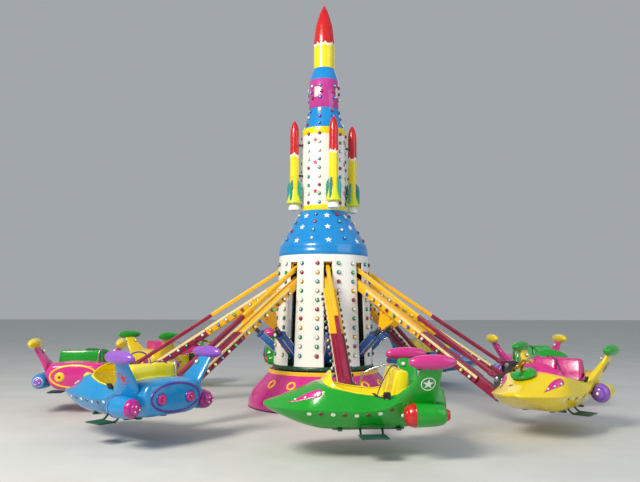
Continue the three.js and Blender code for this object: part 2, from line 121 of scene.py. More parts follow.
@dataclass(frozen=True)
class Finish:
    """What a surface is made of, and how it was coloured and finished, with its patterns' sizes in millimetres.

    A patch is its size, the noise level where it begins, its strongest share, a colour, and how far the
    finish's own colour moves towards that one. Rough is the roughness of the untouched surface and of a scuff,
    and a scuff's size. A bump is its cells' size and its height. Sockets are other inputs of the shader.
    """

    name: str
    colour: str
    patches: Sequence[Patch] = ()
    rough: tuple[float, float, float] = (0.5, 0.6, 30.0)
    bumps: Sequence[tuple[float, float]] = ()
    sockets: Sequence[tuple[str, float]] = ()
    glow: float = 0.0

    def material(self) -> bpy.types.Material:
        """Makes the finish's material, or finds the one that was made before.

        Returns:
            The material.
        """
        made = bpy.data.materials.get(self.name)
        if made is not None:
            return made
        made = bpy.data.materials.new(self.name)
        made.use_nodes = True
        made.diffuse_color = linear(self.colour)
        tree = made.node_tree
        tree.nodes.clear()
        inputs = {"Base Color": self.patched(tree), "Roughness": self.scuffed(tree)} | self.bumped(tree)
        if self.glow:
            inputs |= {"Emission Color": linear(self.colour), "Emission Strength": self.glow}
        shader = add_node(tree, "ShaderNodeBsdfPrincipled", inputs | dict(self.sockets))
        add_node(tree, "ShaderNodeOutputMaterial", {"Surface": shader.outputs["BSDF"]})
        return made

    def noise(self, tree: bpy.types.NodeTree, size: float, detail: float, roughness: float) -> bpy.types.NodeSocket:
        """Adds a noise pattern in object coordinates.

        Args:
            tree: The material's node tree.
            size: The width of its cells in millimetres.
            detail: How many finer layers it has.
            roughness: How strong they are.

        Returns:
            The socket that gives the noise.
        """
        place = add_node(tree, "ShaderNodeTexCoord").outputs["Object"]
        inputs = {"Vector": place, "Scale": 1000.0 / size, "Detail": detail, "Roughness": roughness}
        return add_node(tree, "ShaderNodeTexNoise", inputs).outputs["Fac"]

    def patched(self, tree: bpy.types.NodeTree) -> bpy.types.NodeSocket:
        """Lays the noise-shaped patches over the finish's own colour.

        Args:
            tree: The material's node tree.

        Returns:
            The socket that gives the colour.
        """
        fade_in = 0.14
        colour: Any = linear(self.colour)
        for size, start, share, other, way in self.patches:
            levels = {"From Min": start, "From Max": start + fade_in, "To Max": share}
            noise = self.noise(tree, size, 5.0, 0.6)
            amount = add_node(tree, "ShaderNodeMapRange", {"Value": noise, **levels}).outputs["Result"]
            tone = linear(toned(self.colour, other, way))
            colour = add_node(tree, "ShaderNodeMix", {0: amount, 6: colour, 7: tone}, data_type="RGBA").outputs[2]
        return colour

    def scuffed(self, tree: bpy.types.NodeTree) -> bpy.types.NodeSocket:
        """Varies the roughness over scuffs.

        Args:
            tree: The material's node tree.

        Returns:
            The socket that gives the roughness.
        """
        smooth, dull, size = self.rough
        levels = {"From Min": 0.4, "From Max": 0.72, "To Min": smooth, "To Max": dull}
        noise = self.noise(tree, size, 6.0, 0.65)
        return add_node(tree, "ShaderNodeMapRange", {"Value": noise, **levels}).outputs["Result"]

    def bumped(self, tree: bpy.types.NodeTree) -> dict[str, bpy.types.NodeSocket]:
        """Stacks the bump patterns.

        Args:
            tree: The material's node tree.

        Returns:
            The shader's normal input, or nothing where there are no bumps.
        """
        normal: dict[str, Any] = {}
        for size, height in self.bumps:
            inputs = {"Height": self.noise(tree, size, 2.0, 0.5), "Distance": height / 1000, "Strength": 1.0}
            normal = {"Normal": add_node(tree, "ShaderNodeBump", inputs | normal).outputs["Normal"]}
        return normal


@dataclass(frozen=True)
class Gelcoat(Finish):
    """Pigmented gelcoat on hand-laid glass fibre, taken from a polished mould and waxed.

    It gives the eye a wet gloss that waves a little, sun-faded patches, grime, fine dust and a few dull scuffs.
    Orange peel is 2 to 4 mm across, drawn at 14 mm so that it shows; the lay-up's waves are real.
    """

    patches: Sequence[Patch] = (
        (350.0, 0.42, 0.09, "#FFFFFF", 0.35), (55.0, 0.62, 0.16, "#5A4A38", 0.45), (9.0, 0.74, 0.12, "#B8AE9C", 1.0),
    )
    rough: tuple[float, float, float] = (0.16, 0.38, 45.0)
    bumps: Sequence[tuple[float, float]] = ((120.0, 1.4), (14.0, 0.10))
    sockets: Sequence[tuple[str, float]] = (("Coat Weight", 0.35), ("Coat Roughness", 0.07), ("IOR", 1.5))


@dataclass(frozen=True)
class SprayedEnamel(Finish):
    """Alkyd enamel sprayed on mild steel.

    It gives the eye a softer gloss than gelcoat, sun-bleached streaks, road dust, and chips that show primer.
    Sprayed peel is 1 to 3 mm across, drawn at 10 mm.
    """

    patches: Sequence[Patch] = (
        (260.0, 0.46, 0.18, "#FFFFFF", 0.30), (70.0, 0.60, 0.30, "#2B2118", 0.55), (16.0, 0.73, 0.85, "#5B4436", 1.0),
    )
    rough: tuple[float, float, float] = (0.28, 0.52, 38.0)
    bumps: Sequence[tuple[float, float]] = ((10.0, 0.10),)
    sockets: Sequence[tuple[str, float]] = (("Coat Weight", 0.15), ("Coat Roughness", 0.2), ("IOR", 1.5))


@dataclass(frozen=True)
class BareMetal(Finish):
    """Steel or brass that was turned, ground or plated, and left bare.

    It gives the eye a bright, slightly streaked reflection, with oil stains and fingerprints. The grinding grit
    leaves 0.1 mm lines, drawn as 5 mm grain.
    """

    patches: Sequence[Patch] = ((60.0, 0.56, 0.35, "#3A322A", 0.5),)
    bumps: Sequence[tuple[float, float]] = ((5.0, 0.05),)
    sockets: Sequence[tuple[str, float]] = (("Metallic", 1.0),)


@dataclass(frozen=True)
class MouldedRubber(Finish):
    """Black rubber or filled nylon from a spark-eroded mould.

    It gives the eye a soft, grey, even sheen with a leather-like grain of 4 mm cells and pale dust.
    """

    patches: Sequence[Patch] = ((20.0, 0.55, 0.30, "#A39A8B", 0.6),)
    rough: tuple[float, float, float] = (0.48, 0.72, 30.0)
    bumps: Sequence[tuple[float, float]] = ((4.0, 0.15),)
    sockets: Sequence[tuple[str, float]] = (("IOR", 1.52),)


@dataclass(frozen=True)
class LampCap(Finish):
    """A tinted polycarbonate lamp cap, injection moulded, over a small lamp.

    It gives the eye a clear, lit colour with a sharp glint and slightly clouded patches.
    """

    patches: Sequence[Patch] = ((12.0, 0.5, 0.35, "#FFFFFF", 0.4),)
    rough: tuple[float, float, float] = (0.10, 0.30, 15.0)
    bumps: Sequence[tuple[float, float]] = ((8.0, 0.2),)
    sockets: Sequence[tuple[str, float]] = (("IOR", 1.58),)


@dataclass(frozen=True)
class CutVinyl(Finish):
    """A shape cut from calendered vinyl film and rolled on.

    It gives the eye a flat, clean colour with a plastic sheen, yellowed in places, and a few trapped bubbles.
    """

    patches: Sequence[Patch] = ((40.0, 0.52, 0.30, "#C9B98A", 0.5),)
    rough: tuple[float, float, float] = (0.30, 0.46, 30.0)
    bumps: Sequence[tuple[float, float]] = ((9.0, 0.15),)


@dataclass(frozen=True)
class WovenWebbing(Finish):
    """Nylon belt webbing, woven on a narrow loom.

    It gives the eye close ribs across the strap, a dry sheen and dust in the weave. The ribs are 2 mm apart,
    drawn 5 mm apart so that they show.
    """

    patches: Sequence[Patch] = ((25.0, 0.5, 0.35, "#8C8272", 0.6),)
    rough: tuple[float, float, float] = (0.62, 0.85, 18.0)
    bumps: Sequence[tuple[float, float]] = ((5.0, 0.6),)
    sockets: Sequence[tuple[str, float]] = (("Sheen Weight", 0.3),)


@dataclass(frozen=True)
class FloatedConcrete(Finish):
    """A pale floor of floated concrete with large faint clouds, which isn't part of the ride."""

    patches: Sequence[Patch] = ((900.0, 0.45, 0.25, "#FFFFFF", 0.4),)
    rough: tuple[float, float, float] = (0.55, 0.7, 200.0)
    bumps: Sequence[tuple[float, float]] = ((30.0, 0.3),)


def gelcoat(label: str, colour: str) -> Gelcoat:
    """A gelcoat finish in one of the ride's colours."""
    return Gelcoat(f"gelcoat_glass_fibre_{label}", colour)


def enamel(label: str, colour: str) -> SprayedEnamel:
    """A sprayed enamel finish in one of the ride's colours."""
    return SprayedEnamel(f"enamel_sprayed_steel_{label}", colour)


def film(label: str, colour: str) -> CutVinyl:
    """A vinyl film in one of the ride's colours."""
    return CutVinyl(f"cut_vinyl_film_{label}", colour)


WHITE_COAT = gelcoat("white", "#F8F8F3")
PINK_COAT = gelcoat("base_pink", "#C92488")
YELLOW_COAT = gelcoat("trim_yellow", "#FFC312")
BLUE_COAT = gelcoat("dome_blue", "#0086D4")
BAND_COAT = gelcoat("band_pink", "#BC3592")
RED_COAT = gelcoat("nose_red", "#C60208")
ROCKET_COAT = gelcoat("rocket_yellow", "#F4DF00")
LIME_COAT = gelcoat("skirt_lime", "#DCE612")
TEAL_COAT = gelcoat("fin_teal", "#1F8F8C")
PLANE_GREEN = gelcoat("plane_green", "#009A1C")
PLANE_YELLOW = gelcoat("plane_yellow", "#ECCF00")
PLANE_PINK = gelcoat("plane_pink", "#CC2284")
PLANE_BLUE = gelcoat("plane_blue", "#0E88CA")
PURPLE = gelcoat("pod_purple", "#8A4FC0")
DEEP_PURPLE = gelcoat("trim_deep_purple", "#4A2590")
MAGENTA = gelcoat("trim_magenta", "#B3127F")
# Near-black painted shade for the dark inside of the drum, seen through its slots
DRUM_INSIDE_SHADE = enamel("drum_inside_painted_shade", "#1D2226")
ARM_YELLOW = enamel("arm_yellow", "#FFBE00")
ARM_CRIMSON = enamel("arm_crimson", "#8C0A38")
# Pale strip colour that is a painted highlight for the booms' sunlit upper edges
CHANNEL_HIGHLIGHT = enamel("channel_painted_highlight", "#F3E3A2")
RAM_BLUE = enamel("ram_blue", "#0B4E9C")
MAST_BLUE = enamel("mast_blue", "#0B2448")
TURNTABLE_GREEN = enamel("turntable_green", "#0E4A38")
DARK_STEEL = enamel("dark_frame", "#33363A")
CHROME = BareMetal("chromed_steel_ground", "#C9CCCF", rough=(0.10, 0.32, 22.0))
GALVANISED = BareMetal("zinc_plated_steel_turned", toned("#C9CCCF", "#8E949A", 0.5), rough=(0.30, 0.52, 22.0))
BRASS = BareMetal("cast_brass_polished", "#C99A2E", rough=(0.22, 0.44, 22.0))
RUBBER = MouldedRubber("moulded_black_rubber", "#17181A")
LAMP_COLLAR = MouldedRubber("moulded_nylon_lamp_collar", "#3A3F4A")
WEBBING = WovenWebbing("woven_nylon_webbing_black", "#141416")
WHITE_FILM = film("white", "#F6F7F3")
RED_FILM = film("red", "#C9193C")
BROWN_FILM = film("brown", "#6E2A1C")
PALE_FILM = film("pale_green", "#E6F3DC")
# A pale pink film that is a painted highlight, laid on the faces of the rocket's pink band
BAND_HIGHLIGHT_FILM = film("band_painted_highlight", "#F4D9D2")
DRIP_CREAM = film("drip_cream", "#FBF0D8")


class LampTint(Enum):
    """The lamp caps' tints: a letter, the cap's colour, and the paler one over the lamp itself."""

    CRIMSON = ("R", "#8C1030", "#C23A58")
    TEAL = ("T", "#0D7A86", "#9FE6E4")
    GREEN = ("G", "#0E8A4A", "#8FE3B2")
    CLEAR = ("C", "#C9CFBF", "#FFFDF0")
    YELLOW = ("Y", "#D9B13A", "#FFF3B0")
    BLUE = ("B", "#1547A8", "#8FC4FF")

    def cap(self) -> LampCap:
        """The tinted cap's finish."""
        return LampCap(f"lamp_cap_{self.name.lower()}", self.value[1], glow=0.06)

    def core(self) -> LampCap:
        """The bright middle's finish."""
        return LampCap(f"lamp_core_{self.name.lower()}", self.value[2], glow=0.35)


def tint_row(letters: str) -> tuple[LampTint, ...]:
    """The tints that a row of letters stands for."""
    return tuple(next(tint for tint in LampTint if tint.value[0] == letter) for letter in letters)


# Shapes

Wear = Union[Finish, Enum]


def at(x: float, y: float = 0.0, z: float = 0.0) -> Matrix:
    """A frame that stands at a place."""
    return Matrix.Translation((x, y, z))


def turn(axis: str, degrees: float) -> Matrix:
    """A frame that is turned about one of its axes."""
    return Matrix.Rotation(math.radians(degrees), 4, axis)


def facing(side: int) -> Matrix:
    """A frame whose Z points to a side: along +Y for 1, along -Y for -1."""
    return turn("X", -90.0 * side)


LENGTHWISE = turn("Y", 90.0)
SIDEWAYS = turn("X", 90.0)


def smooth_line(points: Pairs, steps: int) -> list[tuple[float, ...]]:
    """Draws a smooth line through the given points.

    Args:
        points: The points, with as many numbers each as needed.
        steps: How many pieces each stretch between two points becomes.

    Returns:
        The points of the line, the given ones among them.
    """
    last = len(points) - 1
    line: list[tuple[float, ...]] = []
    for i in range(last):
        stretch = list(zip(points[max(i - 1, 0)], points[i], points[i + 1], points[min(i + 2, last)]))
        for step in range(steps):
            t = step / steps
            line.append(
                tuple(
                    0.5 * (2 * a + (b - o) * t + (2 * o - 5 * a + 4 * b - c) * t * t + (3 * a - o - 3 * b + c) * t**3)
                    for o, a, b, c in stretch
                )
            )
    return line + [tuple(points[-1])]


def closed_line(points: Pairs, steps: int) -> list[tuple[float, ...]]:
    """Draws a smooth closed line through the given points."""
    return smooth_line([points[-1], *points, points[0], points[1]], steps)[steps : -steps - 1]


def read_line(line: Pairs, value: float, key: int = 0) -> float:
    """Reads a line of pairs at a place, by straight lines between its points.

    Args:
        line: The pairs.
        value: The place, as a value of the key.
        key: Which number of each pair is the key. The other one is read.

    Returns:
        The other number at the first such place, or else at the nearer end.
    """
    for a, b in zip(line, line[1:]):
        if min(a[key], b[key]) <= value <= max(a[key], b[key]) and a[key] != b[key]:
            return a[1 - key] + (b[1 - key] - a[1 - key]) * (value - a[key]) / (b[key] - a[key])
    return min((line[0], line[-1]), key=lambda end: abs(end[key] - value))[1 - key]


def cored(line: Pairs) -> list[Pair]:
    """A profile with both of its ends drawn in to the axis."""
    return [(CORE, line[0][1]), *line, (CORE, line[-1][1])]


def circle(radius: float, count: int, squash: float = 1.0) -> list[tuple[float, float]]:
    """Points round a circle, or round an oval where squash isn't one."""
    angles = [math.tau * i / count for i in range(count)]
    return [(radius * math.cos(angle), radius * squash * math.sin(angle)) for angle in angles]


def arc(x: float, y: float, radius: float, degrees: Iterable[float]) -> list[tuple[float, float]]:
    """The points at the given angles on a circle about a place."""
    return [(x + radius * math.cos(angle), y + radius * math.sin(angle)) for angle in map(math.radians, degrees)]


def star(radius: float) -> list[tuple[float, float]]:
    """A five-pointed star with one point up."""
    corners = [(radius if i % 2 == 0 else radius * 0.42, math.pi / 2 + math.pi * i / 5) for i in range(10)]
    return [(reach * math.cos(angle), reach * math.sin(angle)) for reach, angle in corners]


def inset(outline: Pairs, depth: float) -> list[Pair]:
    """Moves every corner of an outline inwards along its bisector.

    Args:
        outline: The corners, counter-clockwise.
        depth: How far each side moves. With zero the outline stays as it is.

    Returns:
        The moved corners.
    """
    if not depth:
        return list(outline)
    moved = []
    for i, corner in enumerate(outline):
        here = Vector(corner)
        along = (here - Vector(outline[i - 1])).normalized()
        onwards = (Vector(outline[(i + 1) % len(outline)]) - here).normalized()
        inward = Vector((-along.y - onwards.y, along.x + onwards.x))
        if inward.length < 1e-6:
            inward = Vector((-along.y, along.x))
        inward.normalize()
        slant = max(0.5, inward.dot(Vector((-along.y, along.x))))
        moved.append(tuple(here + inward * depth / slant))
    return moved


def rounded(half_x: float, half_y: float, corner: float, finer: int) -> list[tuple[float, ...]]:
    """A rectangle about the origin with rounded corners.

    Args:
        half_x: Half of its length in X.
        half_y: Half of its length in Y.
        corner: Its corners' radius.
        finer: How many parts each side is split into.

    Returns:
        The outline, counter-clockwise.
    """
    outline: list[tuple[float, ...]] = []
    corners = [(-1, -1, 180), (1, -1, 270), (1, 1, 0), (-1, 1, 90)]
    for number, (sx, sy, start) in enumerate(corners):
        bend = range(start, start + 91, 30)
        outline += arc(sx * (half_x - corner), sy * (half_y - corner), corner, bend)
        nx, ny, _ = corners[(number + 1) % 4]
        here = Vector(outline[-1])
        step = Vector((nx * (half_x - corner), ny * (half_y - corner))) - here
        step = Vector((step.x, 0.0)) if abs(step.x) > abs(step.y) else Vector((0.0, step.y))
        outline += [tuple(here + step * k / finer) for k in range(1, finer)]
    return outline


def framed(origin: Vector, normal: Vector, up: Vector = UP) -> Matrix:
    """Stands a frame at a place.

    Args:
        origin: The place.
        normal: Where the frame's Z points.
        up: What its Y comes as near to as it can.

    Returns:
        The frame.
    """
    z = normal.normalized()
    y = up - z * up.dot(z)
    if y.length < 1e-4:
        y = Vector((0.0, 1.0, 0.0)) - z * z.y
    y.normalize()
    frame = Matrix((y.cross(z), y, z)).transposed().to_4x4()
    frame.translation = origin
    return frame


class Draft:
    """The faces of one piece as they are gathered, each with what it wears."""

    def __init__(self) -> None:
        """Starts with nothing."""
        self.points: list[Vector] = []
        self.faces: list[tuple[int, ...]] = []
        self.wears: list[int] = []
        self.worn: list[Wear] = []

    def add(
        self, points: Iterable[Sequence[float]], faces: Iterable[Sequence[int]], wear: Wear, place: Matrix = IDENTITY
    ) -> None:
        """Adds faces over new points.

        Args:
            points: The new points.
            faces: The faces, by the new points' numbers.
            wear: What the faces wear.
            place: Where the points' own frame stands.
        """
        start = len(self.points)
        self.points.extend(place @ Vector(p) for p in points)
        if wear not in self.worn:
            self.worn.append(wear)
        for face in faces:
            self.faces.append(tuple(start + i for i in face))
            self.wears.append(self.worn.index(wear))

    def rows(
        self,
        rows: Sequence[Points],
        wear: Wear,
        place: Matrix = IDENTITY,
        around: bool = True,
        capped: bool = True,
        looped: bool = False,
    ) -> None:
        """Joins rows of points with faces.

        Args:
            rows: The rows, all of one length.
            wear: What the faces wear.
            place: Where the rows' own frame stands.
            around: Whether each row closes on itself.
            capped: Whether the first and last rows are filled.
            looped: Whether the last row joins the first.
        """
        wide, high = len(rows[0]), len(rows)
        faces: list[Sequence[int]] = []
        for r in range(high if looped else high - 1):
            below, above = r * wide, ((r + 1) % high) * wide
            for i in range(wide if around else wide - 1):
                j = (i + 1) % wide
                faces.append((below + i, below + j, above + j, above + i))
        if capped and around and not looped:
            faces += [range(wide), range((high - 1) * wide, high * wide)]
        self.add([p for row in rows for p in row], faces, wear, place)

    def turned(
        self,
        profile: Pairs,
        wear: Wear,
        sides: int = 48,
        place: Matrix = IDENTITY,
        looped: bool = False,
        capped: bool = True,
    ) -> None:
        """Turns a profile of radius and height about the frame's Z."""
        rings = [[(r * c, r * s, z) for c, s in circle(1.0, sides)] for r, z in profile]
        self.rows(rings, wear, place, looped=looped, capped=capped)

    def tube(
        self,
        path: Points,
        radius: Union[float, Sequence[float]],
        wear: Wear,
        sides: int = 10,
        place: Matrix = IDENTITY,
        squash: float = 1.0,
        looped: bool = False,
    ) -> None:
        """Draws a round or oval bar along a path.

        Args:
            path: The bar's centreline.
            radius: One radius, or one for each point of the path.
            wear: What it wears.
            sides: How many faces go round it.
            place: Where the path's own frame stands.
            squash: The section's height over its width.
            looped: Whether the path closes on itself.
        """
        line = [Vector(p) for p in path]
        radii = radius if isinstance(radius, Sequence) else [radius] * len(line)
        side: Vector | None = None
        rings = []
        for i, here in enumerate(line):
            ahead = line[(i + 1) % len(line)] if looped or i + 1 < len(line) else here
            behind = line[i - 1] if looped or i else here
            along = (ahead - behind).normalized()
            if side is None:
                side = along.cross(UP)
                if side.length < 1e-3:
                    side = AHEAD
            side = (side - along * side.dot(along)).normalized()
            lift = side.cross(along)
            rings.append([here + side * x * radii[i] + lift * y * radii[i] * squash for x, y in circle(1.0, sides)])
        self.rows(rings, wear, place, looped=looped)

    def plate(
        self,
        outline: Pairs,
        low: float,
        high: float,
        wear: Wear,
        place: Matrix = IDENTITY,
        edge: float = 0.002,
    ) -> None:
        """Draws a plate with eased edges.

        Args:
            outline: Its outline in the frame's X and Y, counter-clockwise.
            low: The Z of its underside.
            high: The Z of its top.
            wear: What it wears.
            place: Where its own frame stands.
            edge: How far its edges are eased.
        """
        inner = inset(outline, edge)
        levels = [(inner, low), (outline, low + edge), (outline, high - edge), (inner, high)]
        self.rows([[(x, y, z) for x, y in line] for line, z in levels], wear, place)

    def block(
        self,
        low: Sequence[float],
        high: Sequence[float],
        wear: Wear,
        place: Matrix = IDENTITY,
        edge: float = 0.004,
    ) -> None:
        """Draws a box with rounded upright edges and eased top and bottom.

        Args:
            low: One of its corners.
            high: The opposite corner. In Y the two may come in either order.
            wear: What it wears.
            place: Where its own frame stands.
            edge: The upright edges' radius.
        """
        (x0, x1), (y0, y1) = (low[0], high[0]), sorted((low[1], high[1]))
        outline: list[Pair] = []
        for x, y, start in ((x0, y0, 180), (x1, y0, 270), (x1, y1, 0), (x0, y1, 90)):
            inward = (edge * (1 if x == x0 else -1), edge * (1 if y == y0 else -1))
            outline += arc(x + inward[0], y + inward[1], edge, (start, start + 45, start + 90))
        self.plate(outline, low[2], high[2], wear, place, edge * 0.5)

    def lamp(self, place: Matrix, tint: LampTint, radius: float = 0.030, stem: float = 0.0) -> None:
        """Draws a lamp with its dark collar, tinted cap and bright middle, standing on the frame's Z.

        Args:
            place: The lamp's frame.
            tint: Its colour.
            radius: Its radius.
            stem: How far its collar lifts it.
        """
        r = radius
        if stem:
            self.turned([(r * 0.72, SUNK), (r * 0.72, stem)], LAMP_COLLAR, 12, place)
            place = place @ at(0.0, 0.0, stem)
        self.turned([(r, SUNK), (r, r * 0.20), (r * 0.90, r * 0.30)], LAMP_COLLAR, 12, place)
        cap = [(r * 0.89, r * 0.2), (r * 0.86, r * 0.50), (r * 0.72, r * 0.78), (r * 0.44, r * 0.90)]
        self.turned(cap, tint.cap(), 12, place)
        self.turned([(r * 0.44, r * 0.8), (r * 0.40, r * 0.96), (r * 0.2, r * 1.04)], tint.core(), 8, place)

    def bolt(self, place: Matrix, size: float) -> None:
        """Draws a hexagon bolt head on its washer, standing on the frame's Z.

        Args:
            place: The bolt's frame.
            size: The washer's radius.
        """
        self.turned([(size, -0.001), (size, size * 0.15), (size * 0.9, size * 0.2)], GALVANISED, 14, place)
        hexagon = [(size * 0.72, size * 0.15), (size * 0.72, size * 0.7), (size * 0.6, size * 0.8)]
        self.turned(hexagon, GALVANISED, 6, place)

    def mesh(self, name: str, dressed: Mapping[Enum, Finish]) -> bpy.types.Mesh:
        """Turns the draft into a clean mesh, with its faces outwards and its sharp edges marked.

        Args:
            name: The mesh's name.
            dressed: The finish for each role that stands for one.

        Returns:
            The mesh.
        """
        made = bpy.data.meshes.new(name)
        made.from_pydata([tuple(p) for p in self.points], [], self.faces)
        made.polygons.foreach_set("material_index", self.wears)
        for wear in self.worn:
            made.materials.append((wear if isinstance(wear, Finish) else dressed[wear]).material())
        shape = bmesh.new()
        shape.from_mesh(made)
        bmesh.ops.remove_doubles(shape, verts=shape.verts, dist=WELD)
        bmesh.ops.dissolve_degenerate(shape, edges=shape.edges, dist=1e-6)
        bmesh.ops.recalc_face_normals(shape, faces=shape.faces)
        for face in shape.faces:
            face.smooth = True
        shape.to_mesh(made)
        shape.free()
        made.set_sharp_from_angle(angle=math.radians(SHARP_DEGREES))
        return made

    def piece(
        self,
        name: str,
        body: str,
        slot: str,
        place: Matrix = IDENTITY,
        replaces: Sequence[str] = (),
        dressed: Mapping[Enum, Finish] | None = None,
    ) -> None:
        """Puts the draft in the scene as a piece that rides on a body.

        Args:
            name: The piece's name.
            body: The CAD body that it moves with.
            slot: The record's material slot for the piece; not used.
            place: Where the draft's own frame stands.
            replaces: The CAD nodes that it stands for.
            dressed: The finish for each role that stands for one.
        """
        piece = bpy.data.objects.new(name, self.mesh(name, dressed or {}))
        bpy.context.scene.collection.objects.link(piece)
        piece.matrix_world = place
        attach(piece, body)
        if replaces:
            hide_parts(*replaces)
        LOG.info("%s: %d faces on %s", name, len(piece.data.polygons), body)


class Skin:
    """A draft's surface, which finds the places that details are laid on."""

    def __init__(self, draft: Draft) -> None:
        """Reads the draft's faces."""
        self.tree = BVHTree.FromPolygons(draft.points, draft.faces)

    def spot(self, start: Vector, towards: Vector, up: Vector = UP) -> Matrix:
        """Finds the place where a straight line meets the skin.

        Args:
            start: Where the line starts.
            towards: Where it goes.
            up: What the frame's Y comes as near to as it can.

        Returns:
            A frame at that place, its Z pointing back along the line.

        Raises:
            ValueError: The line misses the skin.
        """
        place, normal, _, _ = self.tree.ray_cast(start, towards)
        if place is None:
            raise ValueError(f"no skin from {tuple(start)} towards {tuple(towards)}")
        return framed(place, -normal if normal.dot(towards) > 0 else normal, up)

    def round_spot(self, degrees: float, height: float) -> Matrix:
        """The place on a skin round the tower's axis at an azimuth and a height."""
        out = Vector((math.cos(math.radians(degrees)), math.sin(math.radians(degrees)), 0.0))
        return self.spot(out * 1.4 + UP * height, -out)

    def laid(self, frame: Matrix, u: float, v: float, lift: float) -> Vector:
        """Finds the skin's point under a place in a frame.

        Args:
            frame: The frame.
            u: The place's X in it.
            v: The place's Y in it.
            lift: How far the point is raised off the skin.

        Returns:
            The point.
        """
        axis = frame.to_3x3() @ UP
        place, normal, _, _ = self.tree.ray_cast(frame @ Vector((u, v, 0.12)), -axis)
        if place is None:
            return frame @ Vector((u, v, lift))
        return place + (-normal if normal.dot(axis) < 0 else normal) * lift

    def patch(
        self, draft: Draft, frame: Matrix, outline: Pairs, height: float, wear: Wear, finer: int = 3
    ) -> None:
        """Lays a thin shape on the skin, following its curve.

        Args:
            draft: The draft that takes the shape.
            frame: The shape's place.
            outline: The shape, whose middle sees all of its edge.
            height: How far its face stands proud.
            wear: What it wears.
            finer: How many parts each side of the outline is split into.
        """
        edge: list[Pair] = []
        for (x, y), (nx, ny) in zip(outline, [*outline[1:], outline[0]]):
            edge += [(x + (nx - x) * k / finer, y + (ny - y) * k / finer) for k in range(finer)]
        rings = [(1.0, SUNK), (1.0, height * 0.7), (0.94, height), (0.62, height), (0.3, height), (0.02, height)]
        draft.rows([[self.laid(frame, x * share, y * share, lift) for x, y in edge] for share, lift in rings], wear)

    def bead(
        self, draft: Draft, frame: Matrix, outline: Pairs, half: float, height: float, wear: Wear
    ) -> None:
        """Lays a raised half-round bead on the skin along a closed outline.

        Args:
            draft: The draft that takes the bead.
            frame: The outline's place.
            outline: The bead's closed centreline.
            half: Half of its width.
            height: Its height at the crest.
            wear: What it wears.
        """
        section = [(-1.0, -0.25), (-0.85, 0.45), (-0.45, 0.9), (0.0, 1.0), (0.45, 0.9), (0.85, 0.45), (1.0, -0.25)]
        rows = []
        for i, (x, y) in enumerate(outline):
            (ax, ay), (bx, by) = outline[i - 1], outline[(i + 1) % len(outline)]
            length = math.hypot(bx - ax, by - ay)
            nx, ny = (by - ay) / length, (ax - bx) / length
            rows.append([self.laid(frame, x + nx * half * a, y + ny * half * a, height * b) for a, b in section])
        draft.rows(rows, wear, looped=True)


def lamp_column(
    lamps: Draft, skin: Skin, degrees: float, heights: Iterable[float], tints: Sequence[LampTint], radius: float,
    first: int = 0,
) -> None:
    """Stands a column of lamps on a skin round the tower's axis.

    Args:
        lamps: The draft that takes them.
        skin: The skin.
        degrees: The column's azimuth.
        heights: The lamps' heights.
        tints: Their colours, which repeat.
        radius: Their radius.
        first: Which colour the first lamp has.
    """
    for row, height in enumerate(heights):
        lamps.lamp(skin.round_spot(degrees, height), tints[(row + first) % len(tints)], radius)


def arm_degrees(number: float) -> float:
    """The azimuth of an arm, counted from one."""
    return -90.0 + ARM_PITCH * (number - 1)


# The tower


@dataclass
class BaseSkirt:
    """The round pink base with its raised yellow rings and its trim."""

    profile: Pairs = (
        (1.078, 0.012), (1.071, 0.086), (1.034, 0.186), (0.964, 0.286), (0.856, 0.401), (0.770, 0.5),
    )
    underside: Pair = (1.066, 0.004)
    top: Pair = (0.764, 0.5)
    foot: Pair = (1.050, 1.0795)
    foot_height: float = 0.014
    ring_height: float = 0.345
    ring_turns: Sequence[float] = (-11.25, 11.25)
    ring_radius: float = 0.055
    ring_half: float = 0.016
    ring_rise: float = 0.014
    rim_radius: float = 0.782
    rim_crest: float = 0.0205
    rim_section: Pairs = (
        (-0.018, -0.004), (-0.018, 0.016), (-0.009, 0.0205), (0.009, 0.0205), (0.018, 0.014), (0.018, -0.030),
        (0.0108, -0.036),
    )
    bolt_size: float = 0.008

    def build(self) -> None:
        """Builds the skirt, its rings and its rim."""
        shell = Draft()
        shell.turned(cored([self.underside, *smooth_line(self.profile, 5), self.top]), PINK_COAT, 128)
        skin = Skin(shell)
        (inner, outer), height = self.foot, self.foot_height
        shell.turned([(inner, 0.0), (outer, 0.0), (outer, height), (inner, height)], RUBBER, 96, looped=True)
        shell.piece("base_skirt_shell", "base", "pink_base", replaces=["base_skirt"])
        rings = Draft()
        for number in ARM_NUMBERS[1::2]:
            for offset in self.ring_turns:
                spot = skin.round_spot(arm_degrees(number) + offset, self.ring_height)
                skin.bead(rings, spot, circle(self.ring_radius, 28), self.ring_half, self.ring_rise, YELLOW_COAT)
        rings.piece("base_skirt_rings", "base", "pink_base")
        rim, level = Draft(), self.top[1]
        rim.turned([(self.rim_radius + r, level + z) for r, z in self.rim_section], YELLOW_COAT, 96, looped=True)
        for i in range(ARM_COUNT * 2):
            rim.bolt(turn("Z", ARM_PITCH / 2 * i) @ at(self.rim_radius, 0.0, level + self.rim_crest), self.bolt_size)
        rim.piece("base_top_rim", "base", "pink_base")


